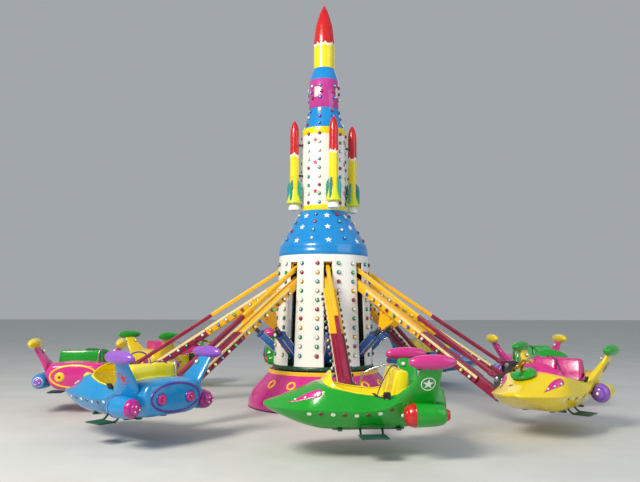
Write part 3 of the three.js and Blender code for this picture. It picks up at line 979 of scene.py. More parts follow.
@dataclass
class Turntable:
    """The turning floor ring and the mast, whose CAD solids stay, with their trims and fastenings."""

    kept: Sequence[tuple[str, Finish]] = (
        ("slew_ring", DARK_STEEL), ("turntable", TURNTABLE_GREEN), ("mast", MAST_BLUE),
    )
    radius: float = 0.720
    rim_section: Pairs = (
        (-0.004, 0.533), (0.010, 0.533), (0.014, 0.541), (0.014, 0.566), (0.010, 0.574), (0.0015, 0.588),
        (-0.010, 0.588), (-0.010, 0.5712),
    )
    bolt_place: Pair = (0.0135, 0.553)
    mast_radius: float = 0.200
    collar_heights: Sequence[float] = (0.90, 1.45)
    collar_section: Pairs = (
        (0.001, 0.0), (0.030, 0.0), (0.034, 0.006), (0.034, 0.034), (0.030, 0.04), (0.001, 0.04),
    )
    yoke_reach: Pair = (0.585, 0.618)
    yoke_half: Pair = (0.0555, 0.0695)
    cheek: Pair = (1.925, 2.024)
    bridge: Pair = (2.010, 2.027)

    def build(self) -> None:
        """Dresses the kept solids and adds rims, bolts, mast collars and yokes."""
        for node, finish in self.kept:
            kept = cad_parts[node]
            kept.data.materials.clear()
            kept.data.materials.append(finish.material())
            LOG.info("%s: kept, with its own finish", node)
        rim = Draft()
        rim.turned([(self.radius + r, z) for r, z in self.rim_section], TURNTABLE_GREEN, 96, looped=True)
        out, height = self.bolt_place
        for i in range(ARM_COUNT * 3):
            rim.bolt(turn("Z", 15.0 * i + 7.5) @ at(self.radius + out, 0.0, height) @ LENGTHWISE, 0.008)
        rim.piece("turntable_rim", "rotor", "turntable_green")
        collars = Draft()
        out = self.collar_section[2][0]
        for height in self.collar_heights:
            section = [(self.mast_radius + r, height + z) for r, z in self.collar_section]
            collars.turned(section, MAST_BLUE, 48, looped=True)
            for i in range(ARM_COUNT):
                side = turn("Z", ARM_PITCH * i) @ at(self.mast_radius + out, 0.0, height + 0.02)
                collars.bolt(side @ LENGTHWISE, 0.010)
        collars.piece("mast_collars", "rotor", "mast_blue")
        yokes = Draft()
        (near, far), (inner, outer) = self.yoke_reach, self.yoke_half
        for number in ARM_NUMBERS:
            place = turn("Z", arm_degrees(number))
            for side in SIDES:
                low, high = (near, side * inner, self.cheek[0]), (far, side * outer, self.cheek[1])
                yokes.block(low, high, ARM_YELLOW, place)
            yokes.block((near, -outer, self.bridge[0]), (far, outer, self.bridge[1]), ARM_YELLOW, place)
        yokes.piece("mast_yokes", "rotor", "mast_blue")


@dataclass
class MainDrum:
    """The white drum with eight slots for the arms, and the lamps on its panels."""

    bottom: float = 0.5712
    top: float = 2.1346
    radius_bottom: float = 0.722
    radius_top: float = 0.656
    wall: float = 0.022
    slot_half: float = 0.074
    slot_top: float = 2.030
    row_heights: Sequence[float] = (0.60, 0.80, 1.1, 1.4, 1.7, 1.95)
    edge_heights: Sequence[float] = (0.9, 1.3, 1.7)
    panel_steps: int = 14
    lamp_turns: Sequence[float] = (-9.7, 9.7)
    lamp_top: float = 2.010
    lamp_pitch: float = 0.1275
    lamp_rows: int = 11
    lamp_radius: float = 0.030
    tints: Sequence[Sequence[LampTint]] = tuple(map(tint_row, ("GTRCY", "CGTYR", "TRYGC", "RYTCG")))

    def radius(self, height: float) -> float:
        """The drum's outer radius at a height."""
        share = (height - self.bottom) / (self.top - self.bottom)
        return self.radius_bottom + (self.radius_top - self.radius_bottom) * share

    def wall_draft(self) -> Draft:
        """Draws the slotted wall as one closed shell.

        Returns:
            The wall's draft.
        """
        heights = [self.bottom, *self.row_heights, self.slot_top, self.slot_top + 0.008, 2.09, self.top]
        first_full = heights.index(self.slot_top)
        columns = [(sector, step) for sector in range(ARM_COUNT) for step in range(self.panel_steps + 1)]
        wide = len(columns)
        points: list[Vector] = []
        for depth in (0.0, self.wall):
            for height in heights:
                r = self.radius(height)
                half = math.radians(ARM_PITCH / 2) - math.asin(self.slot_half / r)
                for sector, step in columns:
                    angle = math.radians(arm_degrees(sector + 1.5)) + half * (2 * step / self.panel_steps - 1)
                    points.append(Vector(((r - depth) * math.cos(angle), (r - depth) * math.sin(angle), height)))
        layer = len(heights) * wide

        def present(row: int, column: int) -> bool:
            """Whether the wall has a cell above that row and right of that column."""
            return 0 <= row < len(heights) - 1 and (row >= first_full or columns[column % wide][1] < self.panel_steps)

        faces, inside = [], []
        for row in range(len(heights) - 1):
            for column in range(wide):
                if not present(row, column):
                    continue
                after = (column + 1) % wide
                a, b = row * wide + column, row * wide + after
                c, d = b + wide, a + wide
                faces.append((a, b, c, d))
                inside.append((a + layer, d + layer, c + layer, b + layer))
                borders = [
                    (row - 1, column, a, b), (row + 1, column, c, d), (row, column - 1, d, a), (row, after, b, c)
                ]
                for beside_row, beside_column, p, q in borders:
                    if not present(beside_row, beside_column):
                        faces.append((p, p + layer, q + layer, q))
        draft = Draft()
        draft.add(points, faces, WHITE_COAT)
        # The inner faces wear a near-black painted shade for the dark inside of the drum
        draft.add(points, inside, DRUM_INSIDE_SHADE)
        return draft

    def build(self) -> None:
        """Builds the wall, its lamps and the edges of its slots."""
        wall = self.wall_draft()
        skin = Skin(wall)
        wall.piece("main_drum_wall", "rotor", "drum_white", replaces=["main_drum"])
        lamps = Draft()
        heights = [self.lamp_top - self.lamp_pitch * row for row in range(self.lamp_rows)]
        for column in range(2 * ARM_COUNT):
            degrees = arm_degrees(column // 2 + 1.5) + self.lamp_turns[column % 2]
            lamp_column(lamps, skin, degrees, heights, self.tints[column % len(self.tints)], self.lamp_radius)
        lamps.piece("main_drum_lamps", "rotor", "drum_white")
        trims = Draft()
        heights = [self.bottom + 0.002, *self.edge_heights, self.slot_top - 0.002]
        for number in ARM_NUMBERS:
            place = turn("Z", arm_degrees(number))
            for side in SIDES:
                line = []
                for height in heights:
                    r = math.sqrt(self.radius(height) ** 2 - self.slot_half**2)
                    line.append((r - self.wall * 0.5, side * (self.slot_half - 0.001), height))
                trims.tube(line, self.wall * 0.62, WHITE_COAT, 8, place, squash=0.35)
        trims.piece("main_drum_slot_edges", "rotor", "drum_white")


@dataclass
class Dome:
    """The blue dome over the drum, with white stars and lamps in turn."""

    base: float = 2.1352
    rim: Pairs = ((0.655, 0.0), (0.657, 0.003), (0.657, 0.045), (0.655, 0.06), (0.651, 0.075))
    profile: Pairs = (
        (0.648, 0.095), (0.638, 0.152), (0.579, 0.256), (0.499, 0.390), (0.409, 0.560), (0.366, 0.635), (0.350, 0.664)
    )
    star_heights: Sequence[float] = (2.710, 2.540, 2.339)
    star_radius: float = 0.050
    lamp_heights: Sequence[float] = (2.722, 2.614, 2.486, 2.362)
    lamp_radius: float = 0.026
    turned: float = 1.0
    tints: Sequence[LampTint] = tint_row("BRTC")

    def build(self) -> None:
        """Builds the dome with its rim, stars and lamps."""
        shell = Draft()
        line = cored([*self.rim, *smooth_line(self.profile, 5)])
        shell.turned([(r, self.base + z) for r, z in line], BLUE_COAT, 112)
        skin = Skin(shell)
        shell.piece("dome_shell", "rotor", "dome_blue", replaces=["dome"])
        stars, lamps = Draft(), Draft()
        for number in ARM_NUMBERS:
            for height in self.star_heights:
                spot = skin.round_spot(arm_degrees(number) + self.turned, height)
                skin.patch(stars, spot, star(self.star_radius), 0.0025, WHITE_FILM)
            between = arm_degrees(number + 0.5) + self.turned
            lamp_column(lamps, skin, between, self.lamp_heights, self.tints, self.lamp_radius, number)
        stars.piece("dome_stars", "rotor", "dome_blue")
        lamps.piece("dome_lamps", "rotor", "dome_blue")


def drip_break(
    draft: Draft, profile: Pairs, level: float, depth: float, teeth: int, wears: Sequence[Wear]
) -> None:
    """Draws the painted drips where a rocket's upper colour runs over its lower one.

    Args:
        draft: The draft that takes the bands, which stand a hair proud of the body.
        profile: The body's profile.
        level: The height where the break lies.
        depth: How long the longest drips are.
        teeth: How many drips go round.
        wears: The finishes from the outermost band inwards.
    """
    sides = teeth * 8
    for number, wear in enumerate(wears):
        lift = 0.0012 * (len(wears) - number)
        top = level + depth * (0.7 - 0.25 * number)
        rows: list[list[Vector]] = [[], [], [], []]
        for i in range(sides):
            angle = math.tau * i / sides
            wave = abs(math.sin(angle * teeth / 2)) ** 0.7
            reach = 0.35 + 0.65 * (0.5 + 0.5 * math.sin(angle * 3 + 1.3)) * (0.6 + 0.4 * math.cos(angle * 5))
            foot = level - depth * (wave * reach) - depth * 0.5 * number
            for row, (height, out) in enumerate(((foot, 0.0), (foot + 0.001, lift), (top, lift), (top + 0.001, 0.0))):
                r = read_line(profile, height, 1) + out
                rows[row].append(Vector((r * math.cos(angle), r * math.sin(angle), height)))
        draft.rows(rows, wear, capped=False)


@dataclass
class Rocket:
    """The rocket over the dome, from its white drum to its red nose."""

    drum_radius: float = 0.328
    drum: Pair = (2.8003, 4.0303)
    low_ring: float = 0.078
    high_ring: float = 0.100
    shoulder: Pairs = ((0.298, 4.0306), (0.290, 4.0606), (0.252, 4.1956), (0.232, 4.2806), (0.226, 4.3496))
    band_radius: float = 0.224
    band: Pair = (4.3499, 4.7899)
    # plate is the outline of the pale patch of painted highlight on each face of the band
    plate: Pairs = ((-0.03, -0.075), (0.03, -0.075), (0.03, 0.075), (-0.03, 0.075))
    highlight_first: float = -127.0
    neck: Pairs = ((0.222, 4.7902), (0.200, 4.8622), (0.162, 4.9682), (0.158, 4.9862))
    nose_bottom: Pair = (0.157, 4.9865)
    nose: Pairs = (
        (0.157, 5.340), (0.157, 5.360), (0.152, 5.472), (0.141, 5.580), (0.127, 5.679), (0.103, 5.765),
        (0.077, 5.845), (0.052, 5.910), (0.030, 5.955), (0.010, 5.993),
    )
    tip: float = 5.9995
    break_height: float = 5.392
    drip_depth: float = 0.075
    sector_first: float = -122.7
    lamp_turns: Sequence[float] = (-15.5, 15.5)
    lamp_top: float = 3.933
    lamp_pitch: float = 0.1275
    lamp_radius: float = 0.0265
    small_lamp_radius: float = 0.0255
    tints: Sequence[Sequence[LampTint]] = (tint_row("RGCCRTGCR"), tint_row("RCCTGCRGT"))
    star_heights: Sequence[float] = (3.836, 3.501, 3.075)
    star_radius: float = 0.045
    shoulder_first: float = -154.5
    shoulder_lamps: Sequence[float] = (4.302, 4.204, 4.092)
    shoulder_tints: Sequence[LampTint] = tint_row("TCRB")
    band_lamps: Pairs = ((17.0, 4.682), (22.0, 4.590), (17.0, 4.498))
    band_tints: Sequence[LampTint] = tint_row("CTRB")

    def build(self) -> None:
        """Builds the five stages with their lamps, stars and drips."""
        self.build_drum()
        self.build_shoulder()
        self.build_band()
        neck = Draft()
        neck.turned(cored(smooth_line(self.neck, 5)), BLUE_COAT, 64)
        neck.piece("rocket_neck", "rotor", "dome_blue", replaces=["neck_cone"])
        self.build_nose()

    def build_drum(self) -> None:
        """Builds the white drum with its yellow rings, lamps and small stars."""
        r, (low, high) = self.drum_radius, self.drum
        drum = Draft()
        drum.turned(cored([(r - 0.003, low + 0.001), (r - 0.003, high - 0.001)]), WHITE_COAT, 96)
        skin = Skin(drum)
        for bottom, top in ((low, low + self.low_ring), (high - self.high_ring, high)):
            section = [(r - 0.012, bottom), (r - 0.001, bottom), (r, bottom + 0.004), (r, top - 0.004)]
            drum.turned(section + [(r - 0.001, top), (r - 0.012, top)], ROCKET_COAT, 96, looped=True)
        drum.piece("rocket_drum", "rotor", "drum_white", replaces=["upper_drum"])
        lamps, stars = Draft(), Draft()
        for sector in range(4):
            middle = self.sector_first + 90.0 * sector
            for offset, tints in zip(self.lamp_turns, self.tints):
                heights = [self.lamp_top - self.lamp_pitch * row for row in range(len(tints))]
                lamp_column(lamps, skin, middle + offset, heights, tints, self.lamp_radius)
            for height in self.star_heights:
                skin.patch(stars, skin.round_spot(middle + 5.0, height), star(self.star_radius), 0.0025, RED_FILM)
        lamps.piece("rocket_drum_lamps", "rotor", "drum_white")
        stars.piece("rocket_drum_stars", "rotor", "drum_white")

    def build_shoulder(self) -> None:
        """Builds the blue shoulder with its lamps."""
        shell, lamps = Draft(), Draft()
        shell.turned(cored(smooth_line(self.shoulder, 5)), BLUE_COAT, 72)
        skin = Skin(shell)
        shell.piece("rocket_shoulder", "rotor", "dome_blue", replaces=["shoulder_cone"])
        for column in range(ARM_COUNT):
            degrees = self.shoulder_first + ARM_PITCH * column
            tints, radius = self.shoulder_tints, self.small_lamp_radius
            lamp_column(lamps, skin, degrees, self.shoulder_lamps, tints, radius, column)
        lamps.piece("rocket_shoulder_lamps", "rotor", "dome_blue")

    def build_band(self) -> None:
        """Builds the pink band with a pale patch of painted highlight on each face, and the lamps round each patch."""
        r, (low, high) = self.band_radius, self.band
        band, highlight_patches, lamps = Draft(), Draft(), Draft()
        section = [(r - 0.002, low), (r, low + 0.003), (r, high - 0.003), (r - 0.002, high)]
        band.turned(cored(section), BAND_COAT, 80)
        skin = Skin(band)
        band.piece("rocket_band", "rotor", "band_pink", replaces=["band_drum"])
        for number in range(4):
            middle = self.highlight_first + 90.0 * number
            spot = skin.round_spot(middle, self.band_lamps[1][1])
            # The pale patch is a painted highlight on the pink band, laid on as a film
            skin.patch(highlight_patches, spot, self.plate, 0.003, BAND_HIGHLIGHT_FILM, 4)
            for side in SIDES:
                for row, (spread, height) in enumerate(self.band_lamps):
                    tint = self.band_tints[(row + number + (side > 0)) % len(self.band_tints)]
                    lamps.lamp(skin.round_spot(middle + side * spread, height), tint, self.small_lamp_radius)
        highlight_patches.piece("rocket_band_painted_highlights", "rotor", "band_pink")
        lamps.piece("rocket_band_lamps", "rotor", "band_pink")

    def build_nose(self) -> None:
        """Builds the yellow collar and the red nose, with drips where they meet."""
        line = [self.nose_bottom, *smooth_line(self.nose, 5), (CORE, self.tip)]
        nose = Draft()
        nose.turned(cored([p for p in line if p[1] <= self.break_height]), ROCKET_COAT, 64)
        upper = [p for p in line if p[1] >= self.break_height - 0.02]
        nose.turned([(CORE, upper[0][1] - 0.001), *upper], RED_COAT, 64)
        drip_break(nose, line, self.break_height, self.drip_depth, 8, (RED_COAT, DRIP_CREAM))
        nose.piece("rocket_nose", "rotor", "rocket_red", replaces=["nose_cone"])


@dataclass
class Booster:
    """One of the four small rockets round the white drum, in its own frame with its struts towards -X."""

    orbit: float = 0.455
    bottom: float = 2.810
    first_degrees: float = -77.7
    bowl: Pairs = (
        (0.052, 0.058), (0.050, 0.006), (0.078, 0.0), (0.086, 0.006), (0.084, 0.03), (0.07, 0.07), (0.052, 0.096),
    )
    skirt: Pairs = (
        (0.058, 0.094), (0.112, 0.104), (0.115, 0.108), (0.114, 0.122), (0.100, 0.160), (0.085, 0.205),
        (0.072, 0.250), (0.067, 0.300),
    )
    body: Pairs = (
        (0.066, 0.300), (0.066, 0.862), (0.066, 1.090), (0.0655, 1.152), (0.060, 1.210), (0.044, 1.280),
        (0.022, 1.322), (0.008, 1.338),
    )
    tip: float = 1.341
    break_height: float = 0.862
    drip_depth: float = 0.08
    fin: Pairs = (
        (0.05, 0.135), (0.118, 0.135), (0.118, 0.335), (0.106, 0.39), (0.072, 0.44), (0.05, 0.44),
    )
    fin_half: float = 0.012
    strut_heights: Sequence[float] = (0.52, 0.98)
    strut_reach: Pair = (-0.133, -0.05)
    strut_half: Pair = (0.019, 0.014)

    def draft(self) -> Draft:
        """Draws the small rocket with its fins and struts.

        Returns:
            The rocket's draft.
        """
        shape = Draft()
        shape.turned(cored(self.bowl), WHITE_COAT, 32)
        shape.turned(cored(self.skirt), LIME_COAT, 32)
        line = [*smooth_line(self.body, 3), (CORE, self.tip)]
        lower = [p for p in line if p[1] <= self.break_height]
        upper = [p for p in line if p[1] >= self.break_height]
        shape.turned([(CORE, lower[0][1] - 0.001), *lower, (CORE, lower[-1][1])], ROCKET_COAT, 32)
        shape.turned([(CORE, upper[0][1]), *upper], RED_COAT, 32)
        drip_break(shape, line, self.break_height, self.drip_depth, 5, (RED_COAT, DRIP_CREAM))
        for i in range(4):
            shape.plate(
                self.fin, -self.fin_half, self.fin_half, TEAL_COAT, turn("Z", 45.0 + 90.0 * i) @ SIDEWAYS, 0.003
            )
        (near, far), (half_y, half_z) = self.strut_reach, self.strut_half
        for height in self.strut_heights:
            shape.block((near, -half_y, height - half_z), (far, half_y, height + half_z), DARK_STEEL)
        return shape

    def build(self) -> None:
        """Builds the four boosters."""
        shape = self.draft()
        for i in range(4):
            place = turn("Z", self.first_degrees + 90.0 * i) @ at(self.orbit, 0.0, self.bottom)
            name = f"booster_{i + 1}"
            shape.piece(f"{name}_rocket", "rotor", "booster_yellow", place, [name])


# The arms


def bored_bar(draft: Draft, half: float, bore: float, low: float, high: float, wear: Wear) -> None:
    """Draws a bar of rounded square section with a round bore right through, along the frame's X.

    Args:
        draft: The draft that takes the bar.
        half: Half of its width and of its depth.
        bore: The bore's radius.
        low: Where it starts.
        high: Where it ends.
        wear: What it wears.
    """
    outer = rounded(half, half, 0.006, 4)
    inner = [(bore * x / math.hypot(x, y), bore * y / math.hypot(x, y)) for x, y in outer]
    eased = [(x * 0.97, y * 0.97) for x, y in outer]
    levels = [(inner, low), (eased, low), (outer, low + 0.002), (outer, high - 0.002), (eased, high), (inner, high)]
    draft.rows([[(x, y, z) for x, y in line] for line, z in levels], wear, LENGTHWISE, looped=True)


def knuckle(draft: Draft, along: float, radius: float, bore: float, half: float, wear: Wear) -> None:
    """Draws a bored boss across a bar.

    Args:
        draft: The draft that takes the boss.
        along: Where it sits along the bar.
        radius: Its radius.
        bore: The bore's radius.
        half: Half of its width.
        wear: What it wears.
    """
    eased = 0.003
    section = [(bore, -half), (radius - eased, -half), (radius, -half + eased), (radius, half - eased)]
    section += [(radius - eased, half), (bore, half)]
    draft.turned(section, wear, 28, at(along) @ SIDEWAYS, looped=True)


@dataclass
class Arm:
    """One lifting arm: the boom with its light channels, and the levelling link over it."""

    number: int
    inner: Pair = (0.560, 1.7715)
    outer: Pair = (2.740, 0.344)
    link_rise: float = 0.2035
    boom_break: float = 1.34
    link_break: float = 1.27
    boom_half: Pair = (0.050, 0.060)  # of its width and of its depth
    link_half: Pair = (0.025, 0.028)
    bore: float = 0.0215
    bracket_along: float = 0.741
    bracket_drop: float = 0.309
    bracket_foot: float = 0.150
    bracket_nose: float = 0.032
    bracket_bolts: Sequence[float] = (-0.12, -0.04, 0.04, 0.12)
    gusset_turns: Sequence[float] = (-0.075, 0.075)
    channel: Pair = (0.30, 2.29)
    channel_side: float = 0.084
    highlight_strip_side: float = 0.0875
    lamp_pitch: float = 0.1325
    lamp_radius: float = 0.0235
    lamp_stem: float = 0.020
    sleeve_along: float = 0.115
    sleeve_half: float = 0.03
    tints: Sequence[LampTint] = tint_row("GCBYCR")

    @property
    def length(self) -> float:
        """The distance between the boom's two pivots."""
        return math.hypot(self.outer[0] - self.inner[0], self.outer[1] - self.inner[1])

    def place(self, rise: float = 0.0) -> Matrix:
        """Stands a frame on the arm, its X along the boom.

        Args:
            rise: How far the frame is raised, which is the link's height over the boom.

        Returns:
            The frame in the world.
        """
        slope = math.atan2(self.inner[1] - self.outer[1], self.outer[0] - self.inner[0])
        start = turn("Z", arm_degrees(self.number)) @ at(self.inner[0], 0.0, self.inner[1] + rise)
        return start @ Matrix.Rotation(slope, 4, "Y")

    def bar(self, draft: Draft, half: Pair, change: float) -> None:
        """Draws a two-coloured box bar between bored end bosses.

        Args:
            draft: The draft that takes the bar.
            half: Half of its width and of its depth.
            change: Where its colour changes.
        """
        wide, deep = half
        first, last = self.bore + 0.002, self.length - self.bore - 0.002
        draft.block((-deep, -wide, first), (deep, wide, change), ARM_YELLOW, LENGTHWISE, 0.008)
        draft.block((-deep, -wide, change), (deep, wide, last), ARM_CRIMSON, LENGTHWISE, 0.008)
        for along, wear in ((0.0, ARM_YELLOW), (self.length, ARM_CRIMSON)):
            knuckle(draft, along, deep, self.bore, wide, wear)

    def channels(self, draft: Draft, lamps: Draft) -> None:
        """Draws the two light channels on the boom's sides, and their lamps.

        Args:
            draft: The draft that takes the channels.
            lamps: The draft that takes the lamps.
        """
        start, end = self.channel
        wall, highlight_strip = self.boom_half[0] - 0.003, self.highlight_strip_side
        for side in SIDES:
            for low, high, body in ((start, self.boom_break, ARM_YELLOW), (self.boom_break, end, ARM_CRIMSON)):
                face = side * self.channel_side
                draft.block((-0.056, side * wall, low), (0.046, face, high), body, LENGTHWISE, 0.005)
                # The pale strip along the top of each channel's outer face is a painted highlight for the boom's sunlit
                # upper edge
                low, high = (-0.053, side * 0.080, low + 0.003), (-0.020, side * highlight_strip, high - 0.003)
                draft.block(low, high, CHANNEL_HIGHLIGHT, LENGTHWISE, 0.002)
            for i in range(int((end - start - 0.06) / self.lamp_pitch) + 1):
                along = start + 0.05 + self.lamp_pitch * i
                tint = self.tints[(i + self.number + (side > 0)) % len(self.tints)]
                lamps.lamp(at(along, side * 0.0838) @ facing(side), tint, self.lamp_radius, self.lamp_stem)
                if i % 3 == 1:
                    draft.bolt(at(along + self.lamp_pitch / 2, side * highlight_strip, 0.037) @ facing(side), 0.007)

    def bracket(self, draft: Draft) -> None:
        """Draws the bracket under the boom that the piston pushes, with its gussets and bolts.

        Args:
            draft: The draft that takes the bracket.
        """
        along, foot, depth = self.bracket_along, self.bracket_foot, self.boom_half[1]
        nose = arc(along, -self.bracket_drop, self.bracket_nose, range(196, 345, 14))
        outline = [(along - foot, -depth + 0.004), *nose, (along + foot, -depth + 0.004)]
        draft.plate(outline, -0.008, 0.008, ARM_YELLOW, SIDEWAYS)
        low, high = (depth - 0.004, -0.046, along - 0.165), (depth + 0.010, 0.046, along + 0.165)
        draft.block(low, high, ARM_YELLOW, LENGTHWISE)
        gusset = [(-depth - 0.008, 0.040), (-depth - 0.075, 0.004), (-depth - 0.008, 0.004)]
        swapped = Matrix(((0, 0, 1, 0), (0, 1, 0, 0), (1, 0, 0, 0), (0, 0, 0, 1)))
        for side in SIDES:
            for offset in self.bracket_bolts:
                draft.bolt(at(along + offset, side * 0.030, -depth - 0.0098) @ turn("X", 180.0), 0.011)
            for offset in self.gusset_turns:
                place = at(along + offset) @ Matrix.Scale(side, 4, (0, 1, 0))
                draft.plate(gusset, -0.004, 0.004, ARM_YELLOW, place @ swapped, 0.001)

    def build(self) -> None:
        """Builds the boom with its channels, and the link."""
        boom, lamps, link = Draft(), Draft(), Draft()
        self.bar(boom, self.boom_half, self.boom_break)
        self.channels(boom, lamps)
        self.bracket(boom)
        name = f"boom_{self.number}"
        boom.piece(f"{name}_beam", name, "arm_yellow", self.place(), [name])
        lamps.piece(f"{name}_lamps", name, "arm_yellow", self.place())
        self.bar(link, self.link_half, self.link_break)
        wide, deep = self.link_half[0] + 0.004, self.link_half[1] + 0.004
        for along, wear in ((self.sleeve_along, ARM_YELLOW), (self.length - self.sleeve_along, ARM_CRIMSON)):
            low, high = (-deep, -wide, along - self.sleeve_half), (deep, wide, along + self.sleeve_half)
            link.block(low, high, wear, LENGTHWISE)
            for side in SIDES:
                for offset in (-0.015, 0.015):
                    link.bolt(at(along + offset, side * wide) @ facing(side), 0.008)
        node = f"link_rod_{self.number}"
        link.piece(f"link_{self.number}", node, "link_yellow", self.place(self.link_rise), [node])


@dataclass
class Ram:
    """One pneumatic cylinder, its own frame's X along it from the foot pin, and the piston in it."""

    number: int
    foot: Pair = (0.500, 0.620)
    slope: float = 43.65
    length: float = 0.7057
    half: float = 0.060
    barrel: float = 0.051
    barrel_bore: float = 0.038
    start: float = 0.066
    end: float = 0.598
    cap: float = 0.044
    rod_radius: float = 0.0178
    gland_radius: float = 0.030
    tie_radius: float = 0.0062
    port: Pairs = ((0.011, -0.001), (0.011, 0.006), (0.007, 0.007), (0.007, 0.013), (0.005, 0.014))
    lug_half: float = 0.0195
    fork_start: float = 0.616
    fork_half: float = 0.028
    fork_cheek: Pair = (0.0142, 0.026)
    pin_head: Pairs = ((0.017, 0.0), (0.017, 0.005), (0.015, 0.007), (0.004, 0.0072))

    def place(self) -> Matrix:
        """The cylinder's frame in the world."""
        return turn("Z", arm_degrees(self.number)) @ at(self.foot[0], 0.0, self.foot[1]) @ turn("Y", -self.slope)

    def build(self) -> None:
        """Builds the cylinder and the piston."""
        body = Draft()
        bore, half, start, end = self.rod_radius + 0.0022, self.half, self.start, self.end
        body.block((-half, -half, start), (half, half, start + 0.009), RAM_BLUE, LENGTHWISE)
        bored_bar(body, half, bore + 0.004, start + 0.006, start + self.cap, RAM_BLUE)
        bored_bar(body, self.barrel, self.barrel_bore, start + 0.03, end - 0.03, RAM_BLUE)
        bored_bar(body, half, bore, end - self.cap, end - 0.004, RAM_BLUE)
        gland = [(bore, end - 0.006), (self.gland_radius, end - 0.006), (self.gland_radius, end - 0.001), (bore, end)]
        body.turned(gland, GALVANISED, 28, LENGTHWISE, looped=True)
        reach = half - 0.010
        for sy in SIDES:
            for sz in SIDES:
                y, z = sy * reach, sz * reach
                tie = [(start + self.cap - 0.004, y, z), (end - self.cap + 0.004, y, z)]
                body.tube(tie, self.tie_radius, CHROME, 10)
                for along, lean in ((end - 0.0042, 90.0), (start + 0.0002, -90.0)):
                    body.bolt(at(along, y, z) @ turn("Y", lean), 0.0085)
            for along in (start + 0.024, end - 0.024):
                body.turned(self.port, BRASS, 6, at(along, sy * half) @ facing(sy))
        lug = self.lug_half
        body.block((-0.023, -lug, 0.0155), (0.023, lug, start + 0.003), DARK_STEEL, LENGTHWISE)
        knuckle(body, 0.0, 0.024, 0.0135, lug, DARK_STEEL)
        name = f"cylinder_{self.number}"
        body.piece(f"{name}_barrel", name, "cylinder_blue", self.place(), [name])
        self.build_piston()

    def build_piston(self) -> None:
        """Builds the chromed rod with its fork and pin heads."""
        piston = Draft()
        rod = [(0.068, 0.0, 0.0), (0.070, 0.0, 0.0), (0.606, 0.0, 0.0)]
        piston.tube(rod, [0.0165, self.rod_radius, self.rod_radius], CHROME, 24)
        nut = [(0.026, 0.590), (0.029, 0.594), (0.029, 0.605)]
        piston.turned(nut, DARK_STEEL, 6, at(0.010) @ LENGTHWISE)
        piston.block((-0.030, -0.026, 0.606), (0.030, 0.026, 0.622), DARK_STEEL, LENGTHWISE)
        start, end, half = self.fork_start, self.length - 0.002, self.fork_half
        bend = arc(end, 0.0, half, range(-75, 76, 15))
        outline = [(start, -half - 0.001), (end, -half), *bend, (end, half), (start, half + 0.001)]
        inner, outer = self.fork_cheek
        for low, high in ((-outer, -inner), (inner, outer)):
            piston.plate(outline, low, high, DARK_STEEL, SIDEWAYS)
        for side in SIDES:
            head = at(self.length, side * 0.0255) @ facing(side)
            piston.turned(self.pin_head, GALVANISED, 20, head)
            piston.bolt(head @ at(0.0, 0.0, 0.006), 0.010)
        name = f"piston_{self.number}"
        piston.piece(f"{name}_rod", name, "piston_steel", self.place(), [name])


# The planes


class Role(Enum):
    """What a colour scheme chooses for a plane."""

    HULL = auto()
    LINING = auto()
    POD = auto()
    JET = auto()
    JET_FRONT = auto()
    JET_REAR = auto()
    JET_RING = auto()
    JET_SHOULDER = auto()
    PANEL = auto()
    OUTLINE = auto()
    EMBLEM = auto()


# Each scheme's material slot in the record, and its finishes in the roles' order
SCHEMES: Sequence[tuple[str, Sequence[Finish]]] = (
    ("hull_green", (
        PLANE_GREEN, ROCKET_COAT, PLANE_PINK, PLANE_GREEN, RED_COAT, RED_COAT, RED_COAT, PLANE_GREEN, PLANE_PINK,
        DEEP_PURPLE, WHITE_FILM,
    )),
    ("hull_yellow", (
        PLANE_YELLOW, PLANE_PINK, PLANE_GREEN, PLANE_YELLOW, PURPLE, PURPLE, DEEP_PURPLE, PLANE_YELLOW, PLANE_PINK,
        DEEP_PURPLE, BROWN_FILM,
    )),
    ("hull_pink", (
        PLANE_PINK, PLANE_GREEN, PLANE_YELLOW, PLANE_BLUE, PURPLE, PURPLE, WHITE_COAT, PLANE_BLUE, PLANE_YELLOW,
        YELLOW_COAT, WHITE_FILM,
    )),
    ("hull_blue", (
        PLANE_BLUE, ROCKET_COAT, PURPLE, PLANE_BLUE, PLANE_BLUE, MAGENTA, DEEP_PURPLE, MAGENTA, PLANE_PINK,
        DEEP_PURPLE, RED_FILM,
    )),
)


